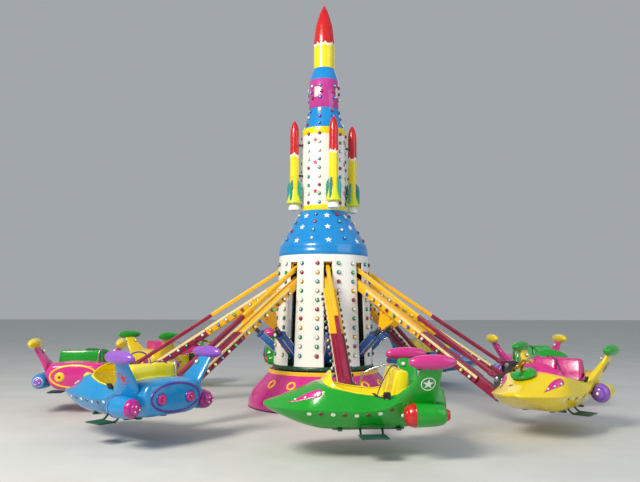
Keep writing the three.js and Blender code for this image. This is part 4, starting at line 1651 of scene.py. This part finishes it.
@dataclass
class Hull:
    """The glass-fibre shell of a plane with its cockpit, in the plane's own frame."""

    stations: Points = (
        # x, half width, keel, crease, rim, reach of the rim, crown
        (0.908, 0.030, 0.474, 0.485, 0.494, 0.020, 0.002),
        (0.892, 0.126, 0.461, 0.483, 0.500, 0.064, 0.006),
        (0.850, 0.214, 0.443, 0.481, 0.510, 0.100, 0.012),
        (0.740, 0.322, 0.394, 0.476, 0.530, 0.164, 0.026),
        (0.600, 0.380, 0.338, 0.470, 0.566, 0.226, 0.042),
        (0.480, 0.400, 0.302, 0.467, 0.604, 0.282, 0.050),
        (0.355, 0.410, 0.276, 0.464, 0.650, 0.330, 0.046),
        (0.200, 0.416, 0.270, 0.455, 0.632, 0.352, 0.030),
        (0.000, 0.424, 0.269, 0.448, 0.594, 0.364, 0.010),
        (-0.200, 0.426, 0.270, 0.474, 0.569, 0.366, 0.010),
        (-0.330, 0.420, 0.274, 0.530, 0.590, 0.362, 0.016),
        (-0.470, 0.410, 0.284, 0.556, 0.642, 0.350, 0.028),
        (-0.640, 0.395, 0.302, 0.542, 0.652, 0.336, 0.026),
        (-0.755, 0.376, 0.332, 0.530, 0.642, 0.316, 0.020),
        (-0.785, 0.354, 0.354, 0.524, 0.628, 0.296, 0.014),
        (-0.800, 0.326, 0.382, 0.516, 0.608, 0.262, 0.010),
    )
    opening: Pairs = (
        (0.345, 0.0), (0.343, 0.09), (0.338, 0.15), (0.325, 0.215), (0.300, 0.262), (0.260, 0.290), (0.200, 0.308),
        (0.060, 0.330), (-0.200, 0.335), (-0.330, 0.326), (-0.400, 0.312), (-0.440, 0.280), (-0.458, 0.220),
        (-0.465, 0.12), (-0.467, 0.0),
    )
    nearest_cut: float = 0.012
    waist: float = 0.452
    floor: float = 0.338
    floor_share: float = 0.78
    flank_bulge: float = 0.005
    flank_shares: Sequence[float] = (0.12, 0.3, 0.5, 0.7, 0.85, 0.95)
    deck_shares: Sequence[float] = (0.0, 0.08, 0.25, 0.5, 0.75, 1.0)
    deck_lift: float = 0.003
    bead_radius: float = 0.0085
    cowl_reach: float = 0.318
    cowl_rise: float = 0.098
    cowl_lean: float = 0.085
    cowl_half: float = 0.009
    cowl_levels: Pairs = ((-0.08, 0.5), (0.0, 1.0), (0.35, 0.9), (0.7, 0.8), (0.94, 0.8), (1.0, 0.3))

    def places(self) -> list[float]:
        """Finds where the hull's sections stand.

        Returns:
            Their places, from the nose back.
        """
        cuts = [x for x, _ in self.opening]
        own = [x for x, *_ in smooth_line(self.stations, 3)]
        kept = [x for x in own if all(abs(x - cut) > self.nearest_cut for cut in cuts)]
        return sorted(set(kept + cuts), reverse=True)

    def section_sizes(self, x: float) -> tuple[float, ...]:
        """Reads the hull's sizes at a place.

        Args:
            x: The place.

        Returns:
            Half width, keel, crease, rim, reach and crown.
        """
        fine = smooth_line(self.stations, 8)
        for a, b in zip(fine, fine[1:]):
            if b[0] <= x <= a[0] and a[0] > b[0]:
                share = (a[0] - x) / (a[0] - b[0])
                return tuple(p + (q - p) * share for p, q in zip(a[1:], b[1:]))
        return tuple(fine[-1][1:])

    def deck(self, x: float, side: float) -> float:
        """The deck's height at a place and a distance from the middle."""
        _, _, _, rim, reach, crown = self.section_sizes(x)
        return rim + crown * (1.0 - min(1.0, (side / reach) ** 2))

    def half_section(self, x: float) -> list[Pair]:
        """Draws half of the section at a place.

        Args:
            x: The place.

        Returns:
            Its points from the keel's middle, round the flank, to the deck's inner edge.
        """
        half, keel, crease, rim, reach, _ = self.section_sizes(x)
        points: list[Pair] = [(0.0, keel), (0.3 * half, keel)]
        curve = [(0.50 * half, keel), (0.78 * half, keel), (0.90 * half, keel + 0.48 * (crease - keel)), (half, crease)]
        for step in range(9):
            t = step / 8
            weights = ((1 - t) ** 3, 3 * t * (1 - t) ** 2, 3 * t * t * (1 - t), t**3)
            points.append(tuple(sum(w * p[k] for w, p in zip(weights, curve)) for k in range(2)))
        rise, lean = rim - crease, half - reach
        for share in self.flank_shares:
            bulge = self.flank_bulge * math.sin(math.pi * share) * min(1.0, rise / 0.08)
            points.append((half - lean * share + bulge, crease + rise * share))
        start = reach - min(0.012, reach * 0.3)
        for share in self.deck_shares:
            across = start + (read_line(self.opening, x) - start) * share
            points.append((across, self.deck(x, across) + self.deck_lift * (share > 0)))
        return points

    def draw(self, draft: Draft) -> None:
        """Draws the shell, the cockpit's lining and the bead round its opening.

        Args:
            draft: The draft that takes them.
        """
        sections = []
        for place in self.places():
            half = [(place, y, z) for y, z in self.half_section(place)]
            sections.append(half[::-1] + [(x, -y, z) for x, y, z in half[1:]])
        draft.rows(sections, Role.HULL, around=False)
        for last in (sections[0], sections[-1]):
            draft.add(last, [range(len(last))], Role.HULL)
        port = [(x, y, self.deck(x, y) + self.deck_lift) for x, y in self.opening]
        edge = port + [(x, -y, z) for x, y, z in reversed(port[1:-1])]
        levels = [edge, [(x * (0.985 * 0.5 + 0.5), y * 0.985, z - 0.012) for x, y, z in edge]]
        for share, height in ((0.97, self.waist), (0.92, self.waist - 0.05)):
            levels.append([(x * (share * 0.5 + 0.5), y * share, height) for x, y, _ in edge])
        levels.append([(x * 0.86, y * self.floor_share, self.floor) for x, y, _ in edge])
        draft.rows(levels, Role.LINING, capped=False)
        draft.add(levels[-1], [range(len(edge))], Role.LINING)
        lip = [(x, y, z + 0.002) for x, y, z in edge]
        draft.tube(lip, self.bead_radius, Role.LINING, 10, looped=True, squash=0.8)
        self.draw_cowl(draft)

    def draw_cowl(self, draft: Draft) -> None:
        """Draws the raised cowl in front of the cockpit, which leans back over it.

        Args:
            draft: The draft that takes it.
        """
        rows = []
        for level, thick in self.cowl_levels:
            outer, inner = [], []
            for share in (step / 12 for step in range(-12, 13)):
                y = self.cowl_reach * share
                foot = read_line(self.opening, abs(y), 1)
                fade = (1.0 - share * share) ** 0.8
                back = foot - self.cowl_lean * fade * level
                height = self.deck(foot, y) + self.cowl_rise * fade * level
                outer.append((back + self.cowl_half * thick, y, height))
                inner.append((back - self.cowl_half * thick, y, height - 0.003 * thick))
            rows.append(outer + inner[::-1])
        draft.rows(rows, Role.LINING)


@dataclass
class Seats:
    """The bench of two moulded seats and the wide shell behind their backs."""

    profile: Pairs = (
        (0.030, 0.335), (0.034, 0.430), (0.016, 0.448), (-0.060, 0.441), (-0.200, 0.436), (-0.240, 0.448),
        (-0.258, 0.480), (-0.300, 0.648), (-0.335, 0.785), (-0.350, 0.806), (-0.385, 0.814), (-0.440, 0.800),
        (-0.452, 0.700), (-0.430, 0.450), (-0.420, 0.335),
    )
    steps: Pairs = (
        (0.0, 0.016), (0.012, 0.009), (0.04, 0.003), (0.09, 0.001), (0.16, 0.0), (0.5, 0.0), (0.84, 0.0),
        (0.91, 0.001), (0.96, 0.003), (0.988, 0.009), (1.0, 0.016),
    )
    shell: Pairs = (
        (-0.405, 0.335), (-0.405, 0.790), (-0.425, 0.804), (-0.446, 0.800), (-0.457, 0.780), (-0.457, 0.700),
        (-0.436, 0.450), (-0.428, 0.335),
    )
    shell_steps: Pairs = (
        (0.0, 0.010), (0.008, 0.004), (0.03, 0.0), (0.5, 0.0), (0.97, 0.0), (0.992, 0.004), (1.0, 0.010),
    )
    width: float = 0.300
    gap: float = 0.008
    taper: float = 0.08

    def narrowing(self, height: float) -> float:
        """How much narrower the backs are at a height, as a share of their width."""
        return self.taper * max(0.0, min(1.0, (height - 0.5) / 0.3)) ** 1.5

    def draw(self, draft: Draft) -> None:
        """Draws both seats with rounded sides, and the shell.

        Args:
            draft: The draft that takes them.
        """
        for side in SIDES:
            middle = side * (self.width + self.gap) / 2
            rows = []
            for share, depth in self.steps:
                across, row = (share - 0.5) * self.width, []
                for x, z in inset(self.profile, depth):
                    pulled = across - side * self.narrowing(z) * (0.5 * self.width + side * across)
                    row.append((x, middle + pulled, z))
                rows.append(row)
            draft.rows(rows, Role.LINING)
        wide = 2 * self.width + self.gap - 0.016
        shares = [1.0 - self.narrowing(z) for _, z in self.shell]
        rows = []
        for share, depth in self.shell_steps:
            outline = inset(self.shell, depth)
            rows.append([(x, (share - 0.5) * wide * narrow, z) for (x, z), narrow in zip(outline, shares)])
        draft.rows(rows, Role.LINING)


@dataclass
class Fin:
    """One horn-like fin with the pod on its top, for a side of the plane."""

    side: int
    rings: Points = (
        # height, front, back, distance from the middle, half thickness
        (0.440, -0.300, -0.665, 0.350, 0.040),
        (0.560, -0.302, -0.700, 0.384, 0.044),
        (0.620, -0.345, -0.710, 0.400, 0.052),
        (0.690, -0.432, -0.713, 0.436, 0.048),
        (0.780, -0.492, -0.716, 0.490, 0.040),
        (0.890, -0.530, -0.720, 0.548, 0.028),
    )
    pod_place: Sequence[float] = (-0.620, 0.557, 0.910)
    pod_length: float = 0.452
    pod_radius: float = 0.0662
    pod_height: float = 1.06
    band: Pairs = ((0.998, -0.004), (1.01, -0.002), (1.01, 0.002), (0.998, 0.004))

    def draw_fin(self, draft: Draft) -> None:
        """Draws the fin alone.

        Args:
            draft: The draft that takes it.
        """
        rows = []
        for z, front, back, out, half in smooth_line(self.rings, 4):
            middle, reach = (front + back) / 2, (front - back) / 2
            row = []
            for c, s in circle(1.0, 28):
                thick = half * math.copysign(abs(s) ** 0.8, s) * (1.0 + 0.15 * c)
                row.append((middle + reach * math.copysign(abs(c) ** 0.9, c), self.side * (out + thick), z))
            rows.append(row)
        draft.rows(rows, Role.HULL)

    def draw(self, draft: Draft) -> None:
        """Draws the fin and its pod.

        Args:
            draft: The draft that takes them.
        """
        self.draw_fin(draft)
        x, y, z = self.pod_place
        profile = []
        for i in range(23):
            angle = math.pi * i / 22
            blunt = 1.08 if angle < math.pi / 2 else 0.84
            bulge = max(0.0006, self.pod_radius * math.sin(angle) ** blunt)
            profile.append((bulge, -self.pod_length / 2 * math.cos(angle)))
        pod = at(x, self.side * y, z) @ Matrix.Scale(self.pod_height, 4, UP) @ LENGTHWISE
        draft.turned(profile, Role.POD, 30, pod)
        draft.turned([(self.pod_radius * share, level) for share, level in self.band], Role.POD, 30, pod, looped=True)


@dataclass
class Jet:
    """One jet beside the stern, its own Z towards the nose."""

    side: int
    place: Sequence[float] = (-0.800, 0.462, 0.422)
    rear: Pairs = ((0.001, 0.000), (0.030, 0.003), (0.047, 0.011), (0.055, 0.024), (0.057, 0.046))
    shoulder: Pairs = ((0.056, 0.038), (0.065, 0.043), (0.077, 0.053), (0.088, 0.071), (0.094, 0.096))
    body: Pairs = (
        (0.094, 0.096), (0.098, 0.118), (0.102, 0.150), (0.106, 0.220), (0.108, 0.300), (0.107, 0.334),
    )
    front: Pairs = (
        (0.108, 0.334), (0.108, 0.344), (0.104, 0.362), (0.096, 0.384), (0.082, 0.404), (0.062, 0.420),
        (0.036, 0.430), (0.001, 0.433),
    )
    rings: Pairs = ((0.1075, 0.334), (0.070, 0.4135))
    ring_half: float = 0.0045
    lip: Pairs = ((0.056, 0.032), (0.0615, 0.035), (0.0615, 0.042), (0.056, 0.045))
    front_lamp: Pair = (0.4325, 0.022)
    rear_glints: Sequence[float] = (40.0, 160.0, 280.0)
    rear_glint_radius: float = 0.0100

    def draw(self, draft: Draft) -> None:
        """Draws the nacelle, its domes, the lamp on its front dome, and three small clear lamps on its rear dome that
        are painted highlights for the glints there.

        Args:
            draft: The draft that takes them.
        """
        x, y, z = self.place
        frame = at(x, self.side * y, z) @ LENGTHWISE
        draft.turned(self.rear, Role.JET_REAR, 32, frame)
        shoulder = [(CORE, 0.036), *smooth_line(self.shoulder, 3), (CORE, 0.096)]
        draft.turned(shoulder, Role.JET_SHOULDER, 32, frame)
        draft.turned([(CORE, 0.095), *smooth_line(self.body, 3), (CORE, 0.334)], Role.JET, 32, frame)
        draft.turned([(CORE, 0.330), *smooth_line(self.front, 2)], Role.JET_FRONT, 32, frame)
        for radius, level in self.rings:
            ring = [(radius + self.ring_half * math.cos(a), level + self.ring_half * math.sin(a)) for a in range(6)]
            draft.turned(ring, Role.JET_RING, 32, frame, looped=True)
        draft.turned(self.lip, Role.JET_RING, 28, frame, looped=True)
        level, radius = self.front_lamp
        draft.lamp(frame @ at(0.0, 0.0, level), LampTint.CLEAR, radius)
        # Three small glowing clear lamps on the rear dome: painted highlights standing for its glints
        for degrees in self.rear_glints:
            glint = frame @ turn("Z", degrees) @ at(0.032, 0.0, 0.0075) @ turn("Y", 206.0)
            draft.lamp(glint, LampTint.CLEAR, self.rear_glint_radius)


@dataclass
class Hanger:
    """The steel hanger at the plane's inner side, which holds the boom's and the link's outer pins."""

    inner: float = -0.612
    outer: float = -0.392
    bottom: float = 0.296
    top: float = 0.602
    corner: float = 0.030
    half_gap: float = 0.056
    thickness: float = 0.012
    pin_side: float = -0.580
    pins: Sequence[float] = (0.344, 0.5475)
    pin_radius: float = 0.0195
    washer: Pairs = ((0.031, -0.001), (0.031, 0.005), (0.028, 0.007))
    back: Pair = (-0.470, -0.457)
    flange: Points = ((-0.092, -0.438, 0.352), (0.092, -0.414, 0.588))
    flange_bolts: Points = ((-0.078, 0.078), (0.375, 0.47, 0.565))

    def draw(self, draft: Draft) -> None:
        """Draws the cheeks, the back plate, the pins and their nuts.

        Args:
            draft: The draft that takes them.
        """
        outline = [(self.outer, self.bottom), (self.outer, self.top)]
        for middle, start in ((self.top - self.corner, 90), (self.bottom + self.corner, 180)):
            outline += arc(self.inner + self.corner, middle, self.corner, range(start, start + 91, 30))
        upright = Matrix(((0, 0, 1, 0), (1, 0, 0, 0), (0, 1, 0, 0), (0, 0, 0, 1)))
        reach = self.half_gap + self.thickness
        for side in SIDES:
            low, high = sorted((side * self.half_gap, side * reach))
            draft.plate(outline, low, high, DARK_STEEL, upright, 0.0015)
            for z in self.pins:
                out = at(side * reach, self.pin_side, z) @ turn("Y", 90.0 * side)
                draft.turned(self.washer, GALVANISED, 24, out)
                draft.bolt(out @ at(0.0, 0.0, 0.006), 0.021)
        draft.block((-reach, self.back[0], self.bottom), (reach, self.back[1], self.top), DARK_STEEL)
        for z in self.pins:
            pin = [(self.pin_radius, -reach + 0.002), (self.pin_radius, reach - 0.002)]
            draft.turned(pin, GALVANISED, 28, at(0.0, self.pin_side, z) @ LENGTHWISE)
        draft.block(*self.flange, DARK_STEEL)
        for x in self.flange_bolts[0]:
            for z in self.flange_bolts[1]:
                draft.bolt(at(x, -0.4375, z) @ SIDEWAYS, 0.010)


@dataclass
class Plane:
    """One plane with everything on it, in its own frame; all eight share these shapes."""

    hull: Hull = field(default_factory=Hull)
    port_first: float = 0.495
    port_pitch: float = 0.109
    port_count: int = 8
    port_drop: float = 0.032
    port_squash: float = 0.80
    star_place: Pair = (-0.592, 0.706)
    star_radius: float = 0.054
    deck_star: Sequence[float] = (0.69, -0.120, 1.2)
    transom_height: float = 0.495
    stern_lights: Pair = (0.180, 0.487)
    stern_rim: Pairs = ((0.065, -0.002), (0.062, 0.008), (0.056, 0.013), (0.046, 0.016))
    stern_disc: Pairs = ((0.048, 0.010), (0.047, 0.021), (0.038, 0.027), (0.022, 0.023))
    panel: Pairs = (
        (-0.185, -0.036), (-0.130, -0.022), (-0.060, 0.014), (0.020, 0.038), (0.090, 0.044), (0.138, 0.034),
        (0.158, 0.006), (0.150, -0.024), (0.115, -0.040), (0.020, -0.042), (-0.090, -0.041),
    )
    panel_lamps: Sequence[float] = (-0.105, -0.005, 0.095)
    bar: Points = (
        (-0.085, -0.352, 0.580), (-0.090, -0.345, 0.650), (-0.115, -0.335, 0.716), (-0.185, -0.318, 0.768),
        (-0.300, -0.290, 0.806), (-0.400, -0.262, 0.826), (-0.455, -0.245, 0.812), (-0.478, -0.235, 0.760),
        (-0.486, -0.232, 0.690),
    )
    bar_foot: Pairs = ((0.024, -0.004), (0.024, 0.004), (0.018, 0.009), (0.011, 0.012))
    rail: Points = (
        (-0.160, 0.150, 0.452), (-0.166, 0.140, 0.510), (-0.205, 0.105, 0.620), (-0.275, 0.040, 0.735),
        (-0.345, -0.040, 0.815), (-0.400, -0.110, 0.828), (-0.440, -0.160, 0.806),
    )
    lever: Points = ((0.13, 0.0, 0.338), (0.125, 0.0, 0.40), (0.10, 0.0, 0.50), (0.09, 0.0, 0.555))
    lever_boot: Pairs = ((0.034, 0.0), (0.034, 0.01), (0.022, 0.03), (0.012, 0.045))
    knob: Pairs = ((0.006, 0.0), (0.014, 0.006), (0.018, 0.018), (0.016, 0.03), (0.008, 0.038))
    knob_place: Sequence[float] = (0.088, 0.0, 0.548)
    tread_ribs: int = 9
    step_arm: Pairs = (
        (0.480, 0.220), (0.400, 0.222), (0.320, 0.224), (0.285, 0.236), (0.255, 0.265), (0.22, 0.285),
    )
    belt_side: float = 0.158
    belt: Points = (
        (-0.245, -0.128, 0.452), (-0.215, -0.10, 0.452), (-0.165, -0.045, 0.4515), (-0.150, 0.0, 0.4515),
        (-0.165, 0.045, 0.4515), (-0.215, 0.10, 0.452), (-0.245, 0.128, 0.452),
    )
    hung_belt: Points = (
        (-0.180, 0.262, 0.520), (-0.190, 0.296, 0.566), (-0.206, 0.330, 0.586), (-0.222, 0.358, 0.586),
        (-0.232, 0.380, 0.566),
    )
    belt_tail: Points = (
        (-0.105, 0.345, 0.610), (-0.118, 0.352, 0.600), (-0.150, 0.362, 0.580), (-0.190, 0.372, 0.574),
    )
    gun_place: Sequence[float] = (0.480, -0.060, 1.3)
    turret: Pairs = (
        (0.138, -0.012), (0.141, 0.004), (0.136, 0.014), (0.118, 0.026), (0.080, 0.036), (0.040, 0.040),
    )
    gun_post: Pairs = ((0.024, 0.036), (0.020, 0.050), (0.014, 0.058), (0.016, 0.074), (0.022, 0.080))
    gun_barrel: Pairs = (
        (0.016, 0.0), (0.021, 0.006), (0.021, 0.070), (0.014, 0.080), (0.012, 0.150), (0.017, 0.154), (0.017, 0.164),
        (0.012, 0.168), (0.011, 0.220), (0.017, 0.226), (0.020, 0.242), (0.009, 0.243), (0.009, 0.200),
    )
    gun_rings: Sequence[float] = (0.095, 0.112, 0.129)
    gun_grip: Points = ((0.016, -0.060, 0.092), (0.040, -0.085, 0.088), (0.048, -0.100, 0.060))

    def shell(self) -> Draft:
        """Draws the hull with its lining, seats, fins, pods and jets.

        Returns:
            Their draft.
        """
        draft = Draft()
        self.hull.draw(draft)
        Seats().draw(draft)
        for side in SIDES:
            Fin(side).draw(draft)
            Jet(side).draw(draft)
        return draft

    def trims(self) -> Draft:
        """Draws the portholes, panels, stars, transom oval and lamps, laid on the hull and the fins.

        Returns:
            Their draft.
        """
        hull, trims = Draft(), Draft()
        self.hull.draw(hull)
        skin = Skin(hull)
        for side in SIDES:
            away = Vector((0.0, -side, 0.0))
            self.draw_ports(trims, skin, side)
            self.draw_panel(trims, skin, side)
            bare = Draft()
            Fin(side).draw_fin(bare)
            fin = Skin(bare)
            if side > 0:
                x, z = self.star_place
                spot = fin.spot(Vector((x, 1.2, z)), away)
                fin.patch(trims, spot, star(self.star_radius), 0.002, Role.EMBLEM)
                fin.bead(trims, spot, circle(0.066, 32), 0.0048, 0.0025, Role.EMBLEM)
            trims.lamp(fin.spot(Vector((-0.565, 0.0, 0.805)), -away), LampTint.CLEAR, 0.026)
        behind = skin.spot(Vector((-1.3, 0.0, self.transom_height)), AHEAD)
        skin.bead(trims, behind, circle(0.302, 56, 0.47), 0.0125, 0.009, Role.OUTLINE)
        out, height = self.stern_lights
        for side in SIDES:
            spot = skin.spot(Vector((-1.3, side * out, height)), AHEAD)
            trims.turned(self.stern_rim, Role.OUTLINE, 32, spot)
            trims.turned(self.stern_disc, Role.PANEL, 32, spot)
            trims.lamp(spot @ at(0.0, 0.0, 0.021), LampTint.CRIMSON, 0.018)
        skin.patch(trims, skin.spot(Vector(self.deck_star), -UP, AHEAD), star(0.036), 0.002, Role.EMBLEM)
        return trims

    def draw_ports(self, trims: Draft, skin: Skin, side: int) -> None:
        """Draws the portholes along one flank.

        Args:
            trims: The draft that takes them.
            skin: The hull's skin.
            side: The flank's side.
        """
        for i in range(self.port_count):
            x = self.port_first - self.port_pitch * i
            drop = self.port_drop + 0.02 * max(0.0, -x - 0.15)
            place = Vector((x, side * 0.9, self.hull.section_sizes(x)[2] - drop))
            spot = skin.spot(place, Vector((0.0, -side, 0.0)))
            wear = BROWN_FILM if i % 2 else PALE_FILM
            skin.patch(trims, spot, circle(0.023, 14, self.port_squash), 0.0035, wear, 1)
            skin.bead(trims, spot, circle(0.0245, 16, self.port_squash), 0.0028, 0.0040, Role.HULL)

    def draw_panel(self, trims: Draft, skin: Skin, side: int) -> None:
        """Draws the drop-shaped panel with its three lamps on one flank of the nose.

        Args:
            trims: The draft that takes them.
            skin: The hull's skin.
            side: The flank's side.
        """
        lean = Vector((0.0, -side * 0.62, -0.78))
        inboard = Vector((-0.12, -side * 0.74, 0.66))
        spot = skin.spot(Vector((0.515, side * 0.275, 0.575)) - lean * 0.4, lean, inboard)
        # The mirrored outline is read backwards, so that it stays counter-clockwise
        outline = [(side * x, y) for x, y in closed_line(self.panel, 3)][::side]
        skin.patch(trims, spot, outline, 0.006, Role.PANEL, 1)
        for u in self.panel_lamps:
            foot = skin.laid(spot, side * u, -0.024, 0.0)
            trims.lamp(skin.spot(foot - lean * 0.2, lean) @ at(0.0, 0.0, 0.005), LampTint.CLEAR, 0.015)

    def fittings(self) -> Draft:
        """Draws the hanger, step, under-frame, lap bar, rail, belts and control lever.

        Returns:
            Their draft.
        """
        draft = Draft()
        Hanger().draw(draft)
        self.draw_step(draft)
        draft.tube(smooth_line(self.bar, 5), 0.0095, CHROME, 12)
        for x, y, _ in (self.bar[0], self.bar[-1]):
            draft.turned(self.bar_foot, CHROME, 18, at(x, y, self.hull.deck(x, y) + 0.001))
        draft.tube(smooth_line(self.rail, 4), 0.0058, DARK_STEEL, 8)
        self.draw_belts(draft)
        draft.turned(self.lever_boot, RUBBER, 18, at(*self.lever[0]))
        draft.tube(smooth_line(self.lever, 4), 0.008, CHROME, 10)
        draft.turned(self.knob, RED_COAT, 16, at(*self.knob_place))
        return draft

    def draw_step(self, draft: Draft) -> None:
        """Draws the step under the outer side, with its ribs, and the frame under the hull.

        Args:
            draft: The draft that takes them.
        """
        draft.block((-0.230, 0.302, 0.216), (0.030, 0.500, 0.228), TURNTABLE_GREEN)
        for i in range(self.tread_ribs):
            y = 0.318 + 0.020 * i
            draft.block((-0.218, y, 0.227), (0.018, y + 0.007, 0.2315), TURNTABLE_GREEN, edge=0.0015)
        for x in (-0.205, 0.005):
            draft.tube(smooth_line([(x, y, z) for y, z in self.step_arm], 3), 0.011, TURNTABLE_GREEN, 10)
        for side in SIDES:
            draft.block((-0.43, side * 0.130, 0.252), (0.26, side * 0.180, 0.284), TURNTABLE_GREEN, edge=0.006)
        for x in (-0.36, 0.20):
            draft.block((x - 0.022, -0.30, 0.258), (x + 0.022, 0.30, 0.282), TURNTABLE_GREEN, edge=0.006)
            for y in (-0.155, 0.155):
                draft.bolt(at(x, y, 0.2525) @ turn("X", 180.0), 0.012)

    def draw_belts(self, draft: Draft) -> None:
        """Draws the lap belts over the cushions and the strap that hangs over the outer rim.

        Args:
            draft: The draft that takes them.
        """
        for side in SIDES:
            middle = side * self.belt_side
            self.strap(draft, smooth_line([(x, middle + y, z) for x, y, z in self.belt], 3), 0.024)
            buckle = at(-0.150, middle, 0.452)
            draft.block((-0.026, -0.036, 0.0), (0.026, 0.036, 0.016), RUBBER, buckle, 0.006)
            draft.block((-0.012, -0.018, 0.015), (0.012, 0.018, 0.019), RED_COAT, buckle, 0.003)
        self.strap(draft, smooth_line(self.hung_belt, 4), 0.024)
        self.strap(draft, smooth_line(self.belt_tail, 4), 0.014)
        hook = at(-0.226, 0.386, 0.592) @ turn("X", 72.0)
        draft.block((-0.034, -0.030, -0.011), (0.034, 0.032, 0.013), RUBBER, hook, 0.010)
        draft.block((-0.016, -0.046, -0.003), (0.016, -0.026, 0.003), CHROME, hook, 0.003)

    def strap(self, draft: Draft, path: Points, half: float) -> None:
        """Draws flat webbing along a path.

        Args:
            draft: The draft that takes it.
            path: Its middle line.
            half: Half of its width, which lies along the plane's X.
        """
        thin = 0.0015
        corners = ((-half, -thin), (half, -thin), (half, thin), (-half, thin))
        draft.rows([[(x + across, y, z + lift) for across, lift in corners] for x, y, z in path], WEBBING)

    def gun(self) -> Draft:
        """Draws the round turret with its toy gun for the nose of the yellow planes.

        Returns:
            Their draft.
        """
        hull, turret = Draft(), Draft()
        self.hull.draw(hull)
        spot = Skin(hull).spot(Vector(self.gun_place), -UP, AHEAD)
        turret.turned([(0.122, -0.030), (0.116, 0.034)], BROWN_FILM, 44, spot)
        spot = spot @ at(0.0, 0.0, 0.030)
        turret.turned(self.turret, PLANE_GREEN, 44, spot)
        spot = spot @ Matrix.Scale(1.25, 4) @ at(0.0, 0.0, -0.007)
        turret.turned(self.gun_post, BRASS, 24, spot)
        barrel = spot @ (at(0.0, -0.075, 0.090) @ turn("X", -84.0))
        turret.turned(self.gun_barrel, BRASS, 24, barrel)
        for level in self.gun_rings:
            ring = [(0.012, level), (0.018, level + 0.002), (0.018, level + 0.008), (0.012, level + 0.010)]
            turret.turned(ring, BRASS, 24, barrel, looped=True)
        for side in SIDES:
            turret.tube(smooth_line([(side * x, y, z) for x, y, z in self.gun_grip], 4), 0.0065, BRASS, 10, spot)
        return turret


@dataclass
class Fleet:
    """The eight planes on the arms' ends."""

    plane: Plane = field(default_factory=Plane)
    orbit: float = 3.320

    def build(self) -> None:
        """Builds every plane in its scheme's colours."""
        shell, trims, fittings, gun = self.plane.shell(), self.plane.trims(), self.plane.fittings(), self.plane.gun()
        for number in ARM_NUMBERS:
            slot, finishes = SCHEMES[(number - 1) % len(SCHEMES)]
            dressed = dict(zip(Role, finishes))
            place = turn("Z", arm_degrees(number)) @ at(self.orbit) @ turn("Z", -90.0)
            name = f"cabin_{number}"
            shell.piece(f"{name}_shell", name, slot, place, [name], dressed)
            trims.piece(f"{name}_trims", name, slot, place, dressed=dressed)
            fittings.piece(f"{name}_fittings", name, slot, place)
            if slot == "hull_yellow":
                gun.piece(f"{name}_turret", name, slot, place)


# The studio


@dataclass
class Studio:
    """The plain floor, the soft lights and the camera at the photograph's angle."""

    floor_reach: float = 60.0
    floor_drop: float = -0.002
    floor_finish: Finish = FloatedConcrete("floated_concrete_pale", "#C9CCCB")
    # name, place, side of its square, watts, colour
    lights: Sequence[tuple[str, Sequence[float], float, float, str]] = (
        ("key", (-7.5, -9.0, 9.5), 4.5, 1850.0, "#FFF6E8"),
        ("fill", (9.0, -7.5, 5.5), 8.0, 320.0, "#E9F2FF"),
        ("back", (3.0, 9.0, 9.0), 6.0, 90.0, "#F2F6FF"),
    )
    aim: Sequence[float] = (0.0, 0.0, 2.0)
    sky: str = "#E8EEF4"
    sky_strength: float = 0.45
    camera_place: Sequence[float] = (-1.003, -10.052, 1.418)
    camera_towards: Sequence[float] = (0.0993, 0.995)
    camera_pitch: float = 5.418
    camera_roll: float = 0.2
    camera_shift: float = -0.0055
    lens: float = 38.46

    def build(self) -> None:
        """Builds the floor, the lights, the pale world around and the camera."""
        floor, reach = Draft(), self.floor_reach
        corners = [(x * reach, y * reach, self.floor_drop) for x, y in ((-1, -1), (1, -1), (1, 1), (-1, 1))]
        floor.add(corners, [range(4)], self.floor_finish)
        ground = bpy.data.objects.new("studio_floor", floor.mesh("studio_floor", {}))
        bpy.context.scene.collection.objects.link(ground)
        for light in self.lights:
            self.light(*light)
        world = bpy.data.worlds.new("studio")
        world.use_nodes = True
        tree = world.node_tree
        tree.nodes.clear()
        inputs = {"Color": linear(self.sky), "Strength": self.sky_strength}
        even = add_node(tree, "ShaderNodeBackground", inputs)
        add_node(tree, "ShaderNodeOutputWorld", {"Surface": even.outputs["Background"]})
        bpy.context.scene.world = world
        self.camera()

    def light(self, name: str, place: Sequence[float], size: float, power: float, colour: str) -> None:
        """Adds one soft area light that faces the ride.

        Args:
            name: The light's name.
            place: Where it stands.
            size: The side of its square.
            power: Its power in watts.
            colour: Its colour.
        """
        lamp = bpy.data.lights.new(name, "AREA")
        lamp.shape = "SQUARE"
        lamp.size = size
        lamp.energy = power
        lamp.color = linear(colour)[:3]
        stand = bpy.data.objects.new(name, lamp)
        stand.location = Vector(place)
        stand.rotation_euler = (Vector(self.aim) - Vector(place)).to_track_quat("-Z", "Y").to_euler()
        bpy.context.scene.collection.objects.link(stand)

    def camera(self) -> None:
        """Sets up the camera where the photograph was taken from."""
        lens = bpy.data.cameras.new("camera")
        lens.sensor_width = 36.0
        lens.lens = self.lens
        lens.clip_end = 200.0
        lens.shift_x = self.camera_shift
        eye = bpy.data.objects.new("camera", lens)
        eye.location = Vector(self.camera_place)
        towards = Vector((*self.camera_towards, 0.0)).normalized()
        towards.z = math.tan(math.radians(self.camera_pitch))
        level = towards.to_track_quat("-Z", "Y").to_matrix()
        eye.rotation_euler = (level @ Matrix.Rotation(math.radians(self.camera_roll), 3, "Z")).to_euler()
        bpy.context.scene.collection.objects.link(eye)
        bpy.context.scene.camera = eye


def main() -> None:
    """Builds the ride's pieces in order."""
    logging.basicConfig(level=logging.INFO, format="%(name)s: %(message)s")
    bpy.context.scene.view_settings.view_transform = "Standard"
    for part in (BaseSkirt(), Turntable(), MainDrum(), Dome(), Rocket(), Booster()):
        LOG.info("building %s", type(part).__name__)
        part.build()
    for number in ARM_NUMBERS:
        Arm(number).build()
        Ram(number).build()
    Fleet().build()
    Studio().build()


if __name__ == "__main__":
    main()
